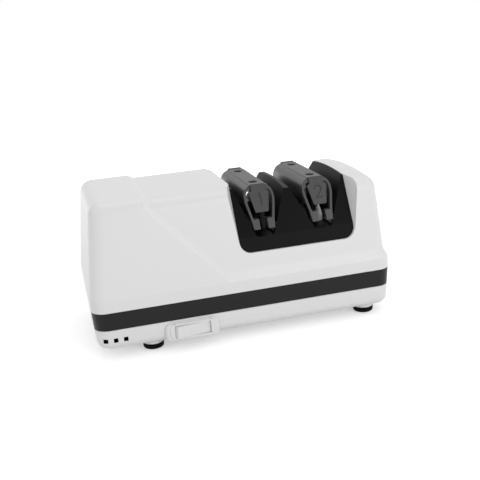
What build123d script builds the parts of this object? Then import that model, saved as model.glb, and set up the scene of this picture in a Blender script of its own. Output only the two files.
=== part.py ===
from build123d import *
import os
from math import atan2, cos, radians, sin, sqrt, tan

# Two-stage electric knife sharpener, millimetres.
# X runs along the spindle, Y to the back and Z up. The origin lies on the table,
# under the middle of the overall box.

os.makedirs("parts", exist_ok=True)

# ---------------------------------------------------------------- driving sizes

# Body
length = 215
depth = 107
height = 107.5
wall_lean = 6.5
right_lean = 3.5
draft_below = 3.4
base_underside = 7
skirt_widest = 35.5
skirt_top = 43
flare_rise = 5.5
flare_radius = 10
lip_radius = 2
corner_radius = 10
top_edge_radius = 9.5
bottom_edge_radius = 6.5
inner_chamfer = 5.2
wall = 2.6
skirt_wall = 3.6
floor_thickness = 2.6
parting_height = 21.8
parting_groove = 0.35

# The left block stands proud of the rest; a sloped ledge runs over the roof and down both faces.
step_out = 2
step_ledge = 4
step_bend_radius = 9
ledge_roof_in = 46.8
ledge_bend_drop = 6.5
ledge_end_gap = 9
ledge_end_rise = 4.4

# Crowned roof of the right block
crown_drop = 3.8
crown_radius = 300

# Stripe
band_height = 12.6
band_thickness = 1.2
band_past_corner = 3

# Tongue of the tray in the groove of the housing
tongue_thickness = 1
tongue_height = 2
tongue_fit = 0.15

# Opening across the body
opening_width = 84
opening_in = 25.9
spindle_room = 0.2
opening_corner = 8
opening_flare = 18
ledge_width = 7.4
ledge_front = 12

# Slot insert
insert_fit = 0.2
insert_wall = 2.6
insert_lip_set_back = 1.5
crease_rise = 10.1
crease_set_back = 2.6
rib_lean = 28
rib_edge = 0.8
valley_rise = 9.7
valley_width = 12
valley_slope = 25
valley_root = 1.2
centre_rib_drop = 3.5
stage_pitch = 42.6
stage_shift = -1.4
post_thickness = 4.2
post_length = 9
post_in = 10.2
post_corner = 1.4

# Magnet bars low in the slots
magnet_thickness = 1.3
magnet_rise = 1.5
magnet_height = 6
magnet_length = 14.5
magnet_set_back = 3.7

# Guides
guide_drop = 3.9
guide_set_back = 22.5
guide_lean = 26.5
strip_width = 11.5
strip_thickness = 1.6
strip_fit = 0.05
strip_line = 0.25
leaf_thickness = 1.6
leaf_width = 21.6
leaf_brow_width = 18.4
leaf_brow_share = 0.92
leaf_shoulder_share = 0.787
leaf_waist_share = 0.63
leaf_knee_share = 0.23
leaf_knee_width = 16.6
foot_rise = 5
foot_width = 14.8
foot_gap = 5.8
foot_length = 4.2
plate_thickness = 1.4
plate_neck_width = 10
plate_shoulder_width = 14.4
plate_bottom_width = 9.3
plate_notch_share = 0.85
plate_shoulder_share = 0.81
plate_bottom_share = 0.367
plate_notch = 0.4
plate_corner = 1
brow_bend = 5.5
seat_bend = 2.5
shoulder_bend = 8
waist_bend = 12
knee_bend = 1.5

# Discs and spindle
spindle_height = 54
spindle_radius = 3.5
spindle_left_in = 8.5
spindle_right_in = 11.5
spindle_chamfer = 0.5
running_fit = 0.05
disc_radius = 30
disc_rim_inner = 3.8
disc_rim_outer = 10.2
disc_cone = 1.2
disc_rim_depth = 8
disc_bevel_depth = 2.4
disc_bevel_width = 1.6
disc_web_thickness = 2.5
disc_seat = 6
disc_hub_outer = 9.8
disc_hub_radius = 8
disc_clearance = 1.5
pin_radius = 1.25
pin_length = 14
pin_place = 8.8
pin_slot_fit = 0.1
spring_radius = 6
spring_wire = 1.2
spring_turns = 3

# Motor
stack_left_in = 41.5
stack_right_gap = 33.6
stack_width = 52
stack_rise = 24
stack_standoff = 8.4
stator_web = 2
window_width = 30
window_height = 9
bore_radius = 15
air_gap = 0.4
end_ring_radius = 12.5
end_ring_length = 3
coil_build = 6
bobbin_wall = 1
coil_fit = 0.2
coil_corner = 2
bobbin_lip = 0.6
bridge_corner = 3
bolt_offset = 20.5
bolt_radius = 2
bolt_head_radius = 3.6
bolt_head_height = 2.6
bridge_standoff = 7
bridge_thickness = 3
bridge_bar_height = 16
bridge_leg_width = 9
bridge_boss_radius = 8.5
bush_radius = 6
bush_length = 9
mount_height = 14
mount_reach = 9
mount_tab = 2.6
mount_post_radius = 4.2
mount_screw_radius = 1.5
collar_radius = 6
collar_gap = 0.3

# Fan
fan_in = 21
fan_plate = 1.5
fan_width = 11.5
fan_radius = 30
fan_hub_radius = 7
fan_blade = 1.4
fan_blades = 9
fan_bite = 1

# Outer bearing
pillar_in = 22.3
pillar_width = 16
pillar_cap = 9
cap_ear = 7
cap_ear_height = 5
cap_screw_radius = 1.5

# Feet and case screws
foot_left_in = 40
foot_right_in = 17.5
foot_side_in = 15.2
foot_radius = 6.4
foot_height = 3.2
foot_bore = 3.1
foot_edge = 0.5
foot_boss_radius = 7.2
screw_tower_radius = 5.6
screw_tower_top = 26
screw_head_radius = 2.9
screw_head_height = 2.2
screw_radius = 1.7
screw_seat = 18
screw_bite = 14
screw_hole_fit = 0.2
housing_post_radius = 4.6

# Insert screws
insert_screw_in = 8.3
insert_screw_radius = 1.4
insert_screw_head = 2.7
insert_screw_bite = 7
insert_boss_radius = 3.4

# Guide screws
guide_screw_radius = 1.2
guide_screw_head = 2.1
guide_screw_head_height = 1
guide_screw_room = 0.2
guide_screw_rim = 0.5
guide_screw_bite = 9

# Switch
switch_in = 66.1
switch_z = 14.6
boss_width = 37.5
boss_height = 13.8
boss_stand = 1.6
boss_corner = 4.5
boss_edge = 1
bezel_width = 31.5
bezel_height = 11.4
bezel_thickness = 0.7
bezel_corner = 3.5
switch_body_width = 29.6
switch_body_height = 9.6
switch_body_depth = 15
switch_fit = 0.15
rocker_radius = 13.3
rocker_height = 8.2
rocker_pivot_depth = 5.2
rocker_proud = 0.9
rocker_crease = 0.9
rocker_crease_place = -5.4
rocker_tilt = 9
rocker_barrel = 3
rocker_back = 2
pocket_depth = 5
trunnion_radius = 1.1
trunnion_length = 0.5
rocker_gap = 0.25
terminal_width = 4.8
terminal_thickness = 0.8
terminal_length = 7
terminal_pitch = 12

# Vents
vent_size = 3
vent_pitch = 6.8
vent_in = 20.5
vent_height = 14.5
vent_count = 3
notch_height = 1.6
left_vents = 7
grille_slots = 6
grille_pitch = 5
grille_slot_width = 2.4
grille_slot_length = 30
grille_in = 19.5

# Cord inlet at the back
inlet_z = 14.6
inlet_radius = 5
inlet_bore = 3
inlet_flange = 6.4
inlet_groove = 0.2
inlet_inner_length = 4

# ---------------------------------------------------------------- worked-out sizes

half_length = length / 2
half_depth = depth / 2
low_top = height - step_out
floor_top = base_underside + floor_thickness
band_low = parting_height + parting_groove
ledge_roof_x = ledge_roof_in - half_length
ledge_bend_height = height - ledge_bend_drop
ledge_end_height = skirt_top + ledge_end_rise
crown_top = height - crown_drop
opening_right = half_length - opening_in
opening_left = opening_right - opening_width
opening_floor = spindle_height + spindle_radius + spindle_room + wall
ledge_end_x = opening_left - ledge_end_gap
module_x = (opening_left + opening_right) / 2
stages = (module_x + stage_shift - stage_pitch / 2, module_x + stage_shift + stage_pitch / 2)
crease_height = opening_floor + crease_rise
valley_floor = opening_floor + valley_rise
centre_rib_top = crown_top - centre_rib_drop
guide_top = height - guide_drop
guide_length = depth - 2 * guide_set_back
foot_low = valley_floor + foot_rise
post_offset = guide_length / 2 - post_in
foot_x = (foot_left_in - half_length, half_length - foot_right_in)
foot_y = half_depth - foot_side_in
post_top = guide_top - strip_thickness - leaf_thickness
stack_left = stack_left_in - half_length
stack_right = opening_left - stack_right_gap
stack_length = stack_right - stack_left
stack_bottom = floor_top + stack_standoff
stack_top = spindle_height + stack_rise
leg_height = spindle_height - bore_radius - stator_web - window_height - stack_bottom
stack_middle = stack_left + stack_length / 2
rotor_radius = bore_radius - air_gap
spindle_left = spindle_left_in - half_length
spindle_right = half_length - spindle_right_in
fan_right = fan_in - half_length
pillar_left = half_length - pillar_in
switch_x = switch_in - half_length
boss_face = half_depth + boss_stand
pivot_y = -(boss_face + bezel_thickness - rocker_pivot_depth)
crown_axis = crown_top - crown_radius
rocker_face = rocker_pivot_depth + rocker_proud
rocker_end = sqrt(rocker_radius**2 - rocker_face**2)
rocker_reach = rocker_end * sin(radians(rocker_tilt)) + rocker_face * cos(radians(rocker_tilt)) - pivot_y
inlet_face = rocker_reach
inlet_wall_outer = half_depth - (skirt_widest - inlet_z - inlet_flange) * tan(radians(draft_below))
mount_x = (
    stack_left - bridge_standoff - bridge_thickness - mount_reach / 2,
    stack_right + bridge_standoff + bridge_thickness + mount_reach / 2,
)
ear_y = (pillar_width + cap_ear) / 2
cap_screw_places = [(pillar_left + bush_length / 2, side * ear_y) for side in (-1, 1)]
quarter_length = half_length + 2 * corner_radius
quarter_depth = half_depth + 2 * corner_radius
level_reach = 0.05
over = 1
past_body = half_depth + 10


def reach_at(z, step):
    """Left, right and front reach of the outer form at height z, set back by step."""
    below = max(skirt_widest - z, 0) * tan(radians(draft_below))
    rise = max(z - skirt_top, 0)
    lean = rise * tan(radians(wall_lean))
    right_in = rise * tan(radians(right_lean))
    set_back = step + below
    return half_length - set_back - lean, half_length - set_back - right_in, half_depth - set_back - lean


def stack(levels, inset=0):
    """Solid through rounded rectangles, one for each (height, set-back) in levels.

    Each of its four quarters is one slanted prism, and they overlap along the middle."""
    quarters = []
    for (low, low_step), (high, high_step) in zip(levels, levels[1:]):
        *ends, front = reach_at(low, low_step)
        *top_ends, top_front = reach_at(high, high_step)
        for way, end, top_end in zip((-1, 1), ends, top_ends):
            for side in (-1, 1):
                x = way * (end - inset - quarter_length / 2)
                y = side * (front - inset - quarter_depth / 2)
                with BuildSketch(Plane.XY.offset(low)) as quarter:
                    with Locations((x, y)):
                        RectangleRounded(quarter_length, quarter_depth, corner_radius - inset)
                slant = Vector(way * (top_end - end), side * (top_front - front), high - low)
                quarters.append(extrude(quarter.sketch, amount=slant.length, dir=slant))
    return quarters[0].fuse(*quarters[1:]).clean()


def hollow(low, high, step, inset):
    """Flat-sided room inside a wall, between two heights, with chamfered corners."""
    left, right, front = reach_at(low, step)
    left_top, right_top, front_top = reach_at(high, step)
    ends = [(inset - left, low), (inset - left_top, high), (right_top - inset, high), (right - inset, low)]
    sides = [(inset - front, low), (inset - front_top, high), (front_top - inset, high), (front - inset, low)]
    room = front_prism(ends, [0] * 4, past_body)
    room = room & side_prism(sides, [0] * 4, -length, length)
    corners = [edge for edge in room.edges() if edge.bounding_box().size.Z > over]
    return chamfer(corners, inner_chamfer)


def front_prism(points, radii, reach):
    """Outline in X and Z, carried from -reach to reach along Y."""
    with BuildSketch(Plane.XZ.offset(-reach)) as outline:
        with BuildLine():
            FilletPolyline(*points, radius=radii, close=True)
        make_face()
    return extrude(outline.sketch, amount=2 * reach)


def side_prism(points, radii, left, right):
    """Outline in Y and Z, carried from left to right along X."""
    with BuildSketch(Plane.YZ.offset(left)) as outline:
        with BuildLine():
            FilletPolyline(*points, radius=radii, close=True)
        make_face()
    return extrude(outline.sketch, amount=right - left)


def rod(x, radius, z, run):
    """Round bar along X, from x over the length run, about the axis at height z."""
    with BuildSketch(Plane.YZ.offset(x)) as disc:
        with Locations((0, z)):
            Circle(radius)
    return extrude(disc.sketch, amount=run)


def upright(places, radius, low, high):
    """Round bars along Z at the given (x, y) places."""
    with BuildSketch(Plane.XY.offset(low)) as disc:
        with Locations(*places):
            Circle(radius)
    return extrude(disc.sketch, amount=high - low)


def roof_edges(form):
    return form.faces().sort_by(Axis.Z)[-1].edges()


def level_edges(form, z):
    return form.edges().filter_by_position(Axis.Z, z - level_reach, z + level_reach)


# ---------------------------------------------------------------- body form

def crowned(form, inset=0):
    """The form under the crowned roof."""
    return form & rod(-length, crown_radius - inset, crown_axis, 2 * length)


def ledge_region(shift, low):
    """Prism that the proud left block fills: left of an upright line and under the diagonal."""
    points = [
        (-length, height + over),
        (ledge_roof_x - shift, height + over),
        (ledge_roof_x - shift, ledge_bend_height),
        (ledge_end_x - shift, ledge_end_height),
        (ledge_end_x - shift, low),
        (-length, low),
    ]
    return front_prism(points, [0, 0, step_bend_radius, 0, 0, 0], past_body)


def outer_form():
    skirt = [(base_underside, 0), (skirt_widest, 0), (skirt_top, 0)]
    low = stack(skirt + [(skirt_top + flare_rise, step_out), (low_top, step_out)])
    low = fillet(level_edges(low, base_underside), bottom_edge_radius)
    low = fillet(level_edges(low, skirt_top + flare_rise), flare_radius)
    low = fillet(level_edges(low, skirt_top), lip_radius)
    right = crowned(low)
    left = fillet(roof_edges(low), top_edge_radius)
    right = fillet(roof_edges(right), top_edge_radius)
    left = split(left, bisect_by=Plane.YZ.offset(module_x), keep=Keep.BOTTOM)
    right = split(right, bisect_by=Plane.YZ.offset(module_x), keep=Keep.TOP)
    proud = stack(skirt + [(height, 0)])
    proud = fillet(roof_edges(proud), top_edge_radius) & ledge_region(0, skirt_widest)
    roof = proud.faces().sort_by(Axis.Z)[-1]
    brink = roof.edges().sort_by(Axis.X)[-1]
    proud = chamfer(brink, length=step_ledge, length2=step_out, reference=roof)
    return left + right + proud


def opening_form(grow):
    """The opening across the body, or the same form grown by a wall."""
    low = opening_floor - grow
    points = [
        (opening_left - grow, height + over),
        (opening_left - grow, low),
        (opening_right + grow, low),
        (opening_right + grow, height + over),
    ]
    return front_prism(points, [0, opening_corner + grow, opening_corner + grow, 0], past_body)


def bevel(wall_x, outward, grow):
    """Wedge that flares the front edge of the opening along the leaning edge of the insert."""
    back = -crease_reach - (crease_height - opening_floor) * tan(radians(rib_lean))
    shift = grow / cos(radians(opening_flare))
    run = half_depth
    with BuildSketch(Plane.XY.offset(opening_floor)) as section:
        with BuildLine():
            Polyline(
                (wall_x - outward, back),
                (wall_x + outward * shift, back),
                (wall_x + outward * (shift + run * tan(radians(opening_flare))), back - run),
                (wall_x - outward, back - run),
                close=True,
            )
        make_face()
    rise = (height - opening_floor) / cos(radians(rib_lean))
    up_and_back = (0, sin(radians(rib_lean)), cos(radians(rib_lean)))
    return extrude(section.sketch, amount=rise, dir=up_and_back)


def bevels(grow):
    front = bevel(opening_left, -1, grow) + bevel(opening_right, 1, grow)
    return front + mirror(front, about=Plane.XZ)


def cavity_form():
    """The hollow of the housing."""
    skirt = hollow(parting_height, skirt_top, 0, skirt_wall)
    low = hollow(skirt_top, low_top - wall, step_out, wall)
    right = crowned(low, wall)
    left = chamfer(roof_edges(low), inner_chamfer)
    right = chamfer(roof_edges(right), inner_chamfer)
    left = split(left, bisect_by=Plane.YZ.offset(module_x), keep=Keep.BOTTOM)
    right = split(right, bisect_by=Plane.YZ.offset(module_x), keep=Keep.TOP)
    slope = atan2(ledge_bend_height - ledge_end_height, ledge_end_x - ledge_roof_x)
    shift = (wall + step_ledge) / sin(slope)
    proud = hollow(skirt_top, height - wall, 0, wall)
    proud = chamfer(roof_edges(proud), inner_chamfer) & ledge_region(shift, skirt_top)
    return skirt + left + right + proud - opening_form(wall) - bevels(wall)


def wall_reach(z):
    """Front reach of the plain wall at height z."""
    return reach_at(z, step_out)[2]


lip_reach = wall_reach(opening_floor) - insert_lip_set_back
crease_reach = wall_reach(crease_height) - crease_set_back


def frame_ring(low, high, outer, inner):
    """Closed band between two insets of the skirt."""
    return stack([(low, 0), (high, 0)], outer) - stack([(low, 0), (high, 0)], inner)


def band_form():
    """Stripe: the front of the skirt between the corners, ending just past them."""
    band_end = half_depth - corner_radius - band_past_corner
    with BuildSketch(Plane.XY.offset(band_low)) as front:
        with Locations((0, -band_end - half_depth)):
            Rectangle(length + over, depth)
    slab = extrude(front.sketch, amount=band_height)
    return frame_ring(band_low, band_low + band_height, 0, band_thickness) & slab


foot_places = [(x, side * foot_y) for x in foot_x for side in (-1, 1)]
insert_screw_y = wall_reach(opening_floor) - insert_screw_in

# Forms shared by the casing, made outside the sub-parts' own blocks
body = outer_form()
cavity = cavity_form()
opening = opening_form(0)
opening_bevels = bevels(0)
band = band_form()
parting_rebate = frame_ring(parting_height, band_low, -over, parting_groove)
groove_inset = skirt_wall - tongue_thickness - tongue_fit
groove = stack([(parting_height, 0), (parting_height + tongue_height + tongue_fit, 0)], groove_inset)
tongue_inset = skirt_wall - tongue_thickness
tongue = frame_ring(parting_height, parting_height + tongue_height, tongue_inset, skirt_wall)
housing_posts = upright(foot_places, housing_post_radius, screw_tower_top, height) & body

# ---------------------------------------------------------------- casing

window_length = opening_width - 2 * ledge_width
window_depth = 2 * (wall_reach(opening_floor) - ledge_front)

with BuildPart() as upper_housing:
    add(body)
    split(bisect_by=Plane.XY.offset(parting_height), keep=Keep.TOP)
    add([cavity, opening, opening_bevels, parting_rebate, band, groove], mode=Mode.SUBTRACT)
    add(housing_posts)
    # Window in the floor of the opening, over the discs
    with BuildSketch(Plane.XY.offset(opening_floor + over)):
        with Locations((module_x, 0)):
            Rectangle(window_length, window_depth)
        with Locations((module_x, -insert_screw_y), (module_x, insert_screw_y)):
            Circle(insert_screw_radius + screw_hole_fit)
    extrude(amount=-wall - 2 * over, mode=Mode.SUBTRACT)
    with BuildSketch(Plane.XY.offset(screw_tower_top)):
        with Locations(*foot_places):
            Circle(screw_radius)
    extrude(amount=screw_bite, mode=Mode.SUBTRACT)
upper_housing.part.label = "upper_housing"
export_step(upper_housing.part, "parts/upper_housing.step")

with BuildPart() as stripe_band:
    add(band)
stripe_band.part.label = "stripe_band"
export_step(stripe_band.part, "parts/stripe_band.step")

# ---------------------------------------------------------------- tray

switch_cut_width = switch_body_width + 2 * switch_fit
switch_cut_height = switch_body_height + 2 * switch_fit
vent_places = [(vent_in - half_length - i * vent_pitch, vent_height) for i in range(vent_count)]
vent_cut = past_body - half_depth + skirt_wall + corner_radius
notch_places = [(x, base_underside) for x, z in vent_places]
tray_inner = stack([(floor_top, 0), (parting_height + over, 0)], skirt_wall)
mount_posts = [(x, side * bolt_offset) for x in mount_x for side in (-1, 1)]

with BuildPart() as base_tray:
    add(body)
    split(bisect_by=Plane.XY.offset(parting_height), keep=Keep.BOTTOM)
    # Boss that carries the switch
    with BuildSketch(Plane.XZ.offset(boss_face)):
        with Locations((switch_x, base_underside + boss_height / 2)):
            RectangleRounded(boss_width, boss_height, boss_corner)
    extrude(amount=-boss_stand - skirt_wall)
    chamfer(base_tray.edges().group_by(Axis.Y)[0], boss_edge)
    add(tray_inner, mode=Mode.SUBTRACT)
    add(tongue)
    with BuildSketch(Plane.XZ.offset(boss_face + over)):
        with Locations((switch_x, switch_z)):
            Rectangle(switch_cut_width, switch_cut_height)
    extrude(amount=-boss_stand - 2 * skirt_wall, mode=Mode.SUBTRACT)
    # Vents in the front, back and left walls, and notches in the edge below them
    for face in (-1, 1):
        with BuildSketch(Plane.XZ.offset(-face * past_body)):
            with Locations(*vent_places):
                Rectangle(vent_size, vent_size)
            with Locations(*notch_places):
                Rectangle(vent_size, 2 * notch_height)
        extrude(amount=face * vent_cut, mode=Mode.SUBTRACT)
    with BuildSketch(Plane.YZ.offset(-half_length - over)):
        with Locations((0, vent_height)):
            with GridLocations(vent_pitch, vent_size, left_vents, 1):
                Rectangle(vent_size, vent_size)
    extrude(amount=skirt_wall + 2 * over, mode=Mode.SUBTRACT)
    # Slots in the floor under the fan
    with BuildSketch(Plane.XY.offset(base_underside - over)):
        with Locations((grille_in - half_length, 0)):
            with GridLocations(grille_pitch, grille_slot_length, grille_slots, 1):
                SlotOverall(grille_slot_length, grille_slot_width, rotation=90)
    extrude(amount=floor_thickness + 2 * over, mode=Mode.SUBTRACT)
    # Foot bosses below the floor and screw towers above it
    with BuildSketch(Plane.XY.offset(foot_height)):
        with Locations(*foot_places):
            Circle(foot_boss_radius)
    extrude(amount=floor_top - foot_height)
    with BuildSketch(Plane.XY.offset(base_underside)):
        with Locations(*foot_places):
            Circle(screw_tower_radius)
    extrude(amount=screw_tower_top - base_underside)
    with BuildSketch(Plane.XY.offset(foot_height)):
        with Locations(*foot_places):
            Circle(foot_bore)
    extrude(amount=screw_seat - foot_height, mode=Mode.SUBTRACT)
    with BuildSketch(Plane.XY.offset(screw_seat)):
        with Locations(*foot_places):
            Circle(screw_radius + screw_hole_fit)
    extrude(amount=screw_tower_top - screw_seat, mode=Mode.SUBTRACT)
    # Posts under the motor
    with BuildSketch(Plane.XY.offset(floor_top)):
        with Locations(*mount_posts):
            Circle(mount_post_radius)
    extrude(amount=mount_height - floor_top)
    with BuildSketch(Plane.XY.offset(floor_top)):
        with Locations(*mount_posts):
            Circle(mount_screw_radius)
    extrude(amount=mount_height - floor_top, mode=Mode.SUBTRACT)
    # Pillar for the outer bearing
    with BuildSketch(Plane.YZ.offset(pillar_left)):
        with Locations((0, (floor_top + spindle_height) / 2)):
            Rectangle(pillar_width, spindle_height - floor_top)
        with Locations(*[(side * ear_y, spindle_height - cap_ear_height / 2) for side in (-1, 1)]):
            Rectangle(cap_ear, cap_ear_height)
    extrude(amount=bush_length)
    with BuildSketch(Plane.YZ.offset(pillar_left - over)):
        with Locations((0, spindle_height)):
            Circle(bush_radius)
    extrude(amount=bush_length + 2 * over, mode=Mode.SUBTRACT)
    with BuildSketch(Plane.XY.offset(spindle_height)):
        with Locations(*cap_screw_places):
            Circle(cap_screw_radius)
    extrude(amount=-cap_ear_height, mode=Mode.SUBTRACT)
    # Hole for the cord inlet
    with BuildSketch(Plane.XZ.offset(-past_body)):
        with Locations((switch_x, inlet_z)):
            Circle(inlet_radius)
    extrude(amount=past_body - half_depth + 2 * skirt_wall, mode=Mode.SUBTRACT)
base_tray.part.label = "base_tray"
export_step(base_tray.part, "parts/base_tray.step")

with BuildPart() as cord_inlet:
    # Flanged bush: the flange outside and a retaining collar inside grip the wall
    with BuildSketch(Plane.XZ.offset(-inlet_wall_outer)) as flange_outline:
        with Locations((switch_x, inlet_z)):
            Circle(inlet_flange)
    extrude(amount=-(inlet_face - inlet_wall_outer))
    chamfer(cord_inlet.edges().group_by(Axis.Y)[-1], boss_edge)
    with BuildSketch(Plane.XZ.offset(-inlet_wall_outer)):
        with Locations((switch_x, inlet_z)):
            Circle(inlet_radius)
    extrude(amount=skirt_wall + inlet_inner_length)
    with BuildSketch(Plane.XZ.offset(-inlet_face)):
        with Locations((switch_x, inlet_z)):
            Circle(inlet_bore)
    extrude(amount=inlet_face, mode=Mode.SUBTRACT)
cord_inlet.part.label = "cord_inlet"
export_step(cord_inlet.part, "parts/cord_inlet.step")

foot_names = ("foot_front_left", "foot_back_left", "foot_front_right", "foot_back_right")

for name, (x, y) in zip(foot_names, foot_places):
    with BuildPart() as foot:
        with BuildSketch(Plane.XY):
            with Locations((x, y)):
                Circle(foot_radius)
                Circle(foot_bore, mode=Mode.SUBTRACT)
        extrude(amount=foot_height)
        chamfer(foot.edges().group_by(Axis.Z)[0], foot_edge)
    foot.part.label = name
    export_step(foot.part, f"parts/{name}.step")

with BuildPart() as case_screws:
    with BuildSketch(Plane.XY.offset(screw_seat - screw_head_height)):
        with Locations(*foot_places):
            Circle(screw_head_radius)
    extrude(amount=screw_head_height)
    with BuildSketch(Plane.XY.offset(screw_seat)):
        with Locations(*foot_places):
            Circle(screw_radius)
    extrude(amount=screw_tower_top - screw_seat + screw_bite)
case_screws.part.label = "case_screws"
export_step(case_screws.part, "parts/case_screws.step")

# ---------------------------------------------------------------- slot insert


def slope_reach(z, back_off=0):
    """Half width of a valley at height z, measured square to the slope behind its face by back_off."""
    slope = radians(valley_slope)
    return valley_width / 2 + (z - valley_floor) * tan(slope) + back_off / cos(slope)


def slope_meets(x, back_off):
    """Height at which the slope next to a side wall reaches the distance x from the stage's middle."""
    run = x - valley_width / 2 - back_off / cos(radians(valley_slope))
    return valley_floor + run / tan(radians(valley_slope))


def rib_front(z, back_off=0):
    """Reach of the leaning rib fronts at height z."""
    return crease_reach - (z - crease_height) * tan(radians(rib_lean)) - back_off / cos(radians(rib_lean))


insert_left = opening_left + insert_fit
insert_right = opening_right - insert_fit
insert_low = opening_floor
left_run = stages[0] - insert_left
right_run = insert_right - stages[1]
insert_profile = [
    (insert_left, insert_low),
    (insert_left, crown_top),
    (stages[0] - min(slope_reach(crown_top), left_run - rib_edge), crown_top),
    (stages[0] - valley_width / 2, valley_floor),
    (stages[0] + valley_width / 2, valley_floor),
    (stages[0] + slope_reach(centre_rib_top), centre_rib_top),
    (stages[1] - slope_reach(centre_rib_top), centre_rib_top),
    (stages[1] - valley_width / 2, valley_floor),
    (stages[1] + valley_width / 2, valley_floor),
    (stages[1] + min(slope_reach(crown_top), right_run - rib_edge), crown_top),
    (insert_right, crown_top),
    (insert_right, insert_low),
]
insert_radii = [opening_corner, 0, 0, valley_root, valley_root, 0]
insert_radii = insert_radii + insert_radii[::-1]
insert_side = [
    (-lip_reach, insert_low),
    (-crease_reach, crease_height),
    (-rib_front(crown_top), crown_top + over),
    (rib_front(crown_top), crown_top + over),
    (crease_reach, crease_height),
    (lip_reach, insert_low),
]
inner_floor = valley_floor - insert_wall
inner_root = slope_reach(inner_floor, insert_wall)
inner_crown = centre_rib_top - insert_wall
hollow_profile = [
    (insert_left + insert_wall, insert_low - over),
    (insert_left + insert_wall, slope_meets(left_run - insert_wall, insert_wall)),
    (stages[0] - inner_root, inner_floor),
    (stages[0] + inner_root, inner_floor),
    (stages[0] + slope_reach(inner_crown, insert_wall), inner_crown),
    (stages[1] - slope_reach(inner_crown, insert_wall), inner_crown),
    (stages[1] - inner_root, inner_floor),
    (stages[1] + inner_root, inner_floor),
    (insert_right - insert_wall, slope_meets(right_run - insert_wall, insert_wall)),
    (insert_right - insert_wall, insert_low - over),
]
hollow_side = [
    (-lip_reach + insert_wall, insert_low - over),
    (-rib_front(crease_height, insert_wall), crease_height),
    (-rib_front(crown_top, insert_wall), crown_top),
    (rib_front(crown_top, insert_wall), crown_top),
    (rib_front(crease_height, insert_wall), crease_height),
    (lip_reach - insert_wall, insert_low - over),
]
insert_form = front_prism(insert_profile, insert_radii, past_body)
insert_form = insert_form & side_prism(insert_side, [0] * len(insert_side), insert_left, insert_right)
insert_form = crowned(insert_form)
# The middle rib's top is crowned like the roof
rib_space = [
    (stages[0], centre_rib_top - centre_rib_drop),
    (stages[0], height),
    (stages[1], height),
    (stages[1], centre_rib_top - centre_rib_drop),
]
rib_crown = rod(stages[0], crown_radius, crown_axis - centre_rib_drop, stage_pitch)
insert_form = insert_form - (front_prism(rib_space, [0] * len(rib_space), past_body) - rib_crown)
hollow_form = front_prism(hollow_profile, [0] * len(hollow_profile), past_body)
hollow_form = hollow_form & side_prism(hollow_side, [0] * len(hollow_side), insert_left, insert_right)


def disc_wells(grow):
    """Room for the two discs of each stage, either side of the bar along its middle."""
    wells = []
    for x in stages:
        for side in (-1, 1):
            near = x + side * post_thickness / 2
            far = x + side * (disc_rim_outer + grow)
            wells.append(rod(min(near, far), disc_radius + disc_clearance, spindle_height, abs(far - near)))
    return wells


def magnet_form(x, side, end, fit):
    """Bar let into the foot of a slope: one side of a stage, front or back."""
    low = valley_floor + magnet_rise
    high = low + magnet_height
    face_low = x + side * slope_reach(low)
    face_high = x + side * slope_reach(high)
    sunk = side * magnet_thickness / cos(radians(valley_slope))
    proud = side * fit
    points = [
        (face_low - proud, low),
        (face_low + sunk, low),
        (face_high + sunk, high),
        (face_high - proud, high),
    ]
    with BuildSketch(Plane.XZ.offset(-end * (crease_reach - magnet_set_back))) as outline:
        with BuildLine():
            Polyline(*points, close=True)
        make_face()
    return extrude(outline.sketch, amount=end * magnet_length)


post_places = [(x, side * post_offset) for x in stages for side in (-1, 1)]
insert_screw_places = [(module_x, -insert_screw_y), (module_x, insert_screw_y)]
wells = disc_wells(disc_clearance)
magnets = [[magnet_form(x, side, end, 0) for side in (-1, 1) for end in (-1, 1)] for x in stages]
magnet_pockets = [magnet_form(x, side, end, over) for x in stages for side in (-1, 1) for end in (-1, 1)]

with BuildPart() as slot_insert:
    add(insert_form)
    add(hollow_form, mode=Mode.SUBTRACT)
    # Bosses for the screws that hold the insert down
    with BuildSketch(Plane.XY.offset(insert_low)):
        with Locations(*insert_screw_places):
            Circle(insert_boss_radius)
    extrude(amount=crease_height - insert_low)
    # Posts that carry the guides
    with BuildSketch(Plane.XY.offset(inner_floor)):
        with Locations(*post_places):
            RectangleRounded(post_thickness, post_length, post_corner)
    extrude(amount=post_top - inner_floor)
    add(wells, mode=Mode.SUBTRACT)
    add(magnet_pockets, mode=Mode.SUBTRACT)
    with BuildSketch(Plane.XY.offset(insert_low)):
        with Locations(*insert_screw_places):
            Circle(insert_screw_radius)
    extrude(amount=insert_screw_bite, mode=Mode.SUBTRACT)
    with BuildSketch(Plane.XY.offset(post_top)):
        with Locations(*post_places):
            Circle(guide_screw_radius)
    extrude(amount=-guide_screw_bite, mode=Mode.SUBTRACT)
slot_insert.part.label = "slot_insert"
export_step(slot_insert.part, "parts/slot_insert.step")

with BuildPart() as insert_screws:
    with BuildSketch(Plane.XY.offset(insert_low - wall)):
        with Locations(*insert_screw_places):
            Circle(insert_screw_head)
    extrude(amount=-screw_head_height)
    with BuildSketch(Plane.XY.offset(insert_low - wall)):
        with Locations(*insert_screw_places):
            Circle(insert_screw_radius)
    extrude(amount=wall + insert_screw_bite)
insert_screws.part.label = "insert_screws"
export_step(insert_screws.part, "parts/insert_screws.step")

for number, bars in enumerate(magnets, start=1):
    with BuildPart() as magnet_bars:
        add(bars)
    magnet_bars.part.label = f"magnet_bars_{number}"
    export_step(magnet_bars.part, f"parts/magnet_bars_{number}.step")

# ---------------------------------------------------------------- guides


def guide_ends(top, low, inset=0):
    """Side outline of a guide between two heights: its ends lean back."""
    rise = tan(radians(guide_lean))
    near = guide_length / 2 + (guide_top - top) * rise - inset
    far = guide_length / 2 + (guide_top - low) * rise - inset
    return [(-far, low), (-near, top), (near, top), (far, low)]


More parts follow.
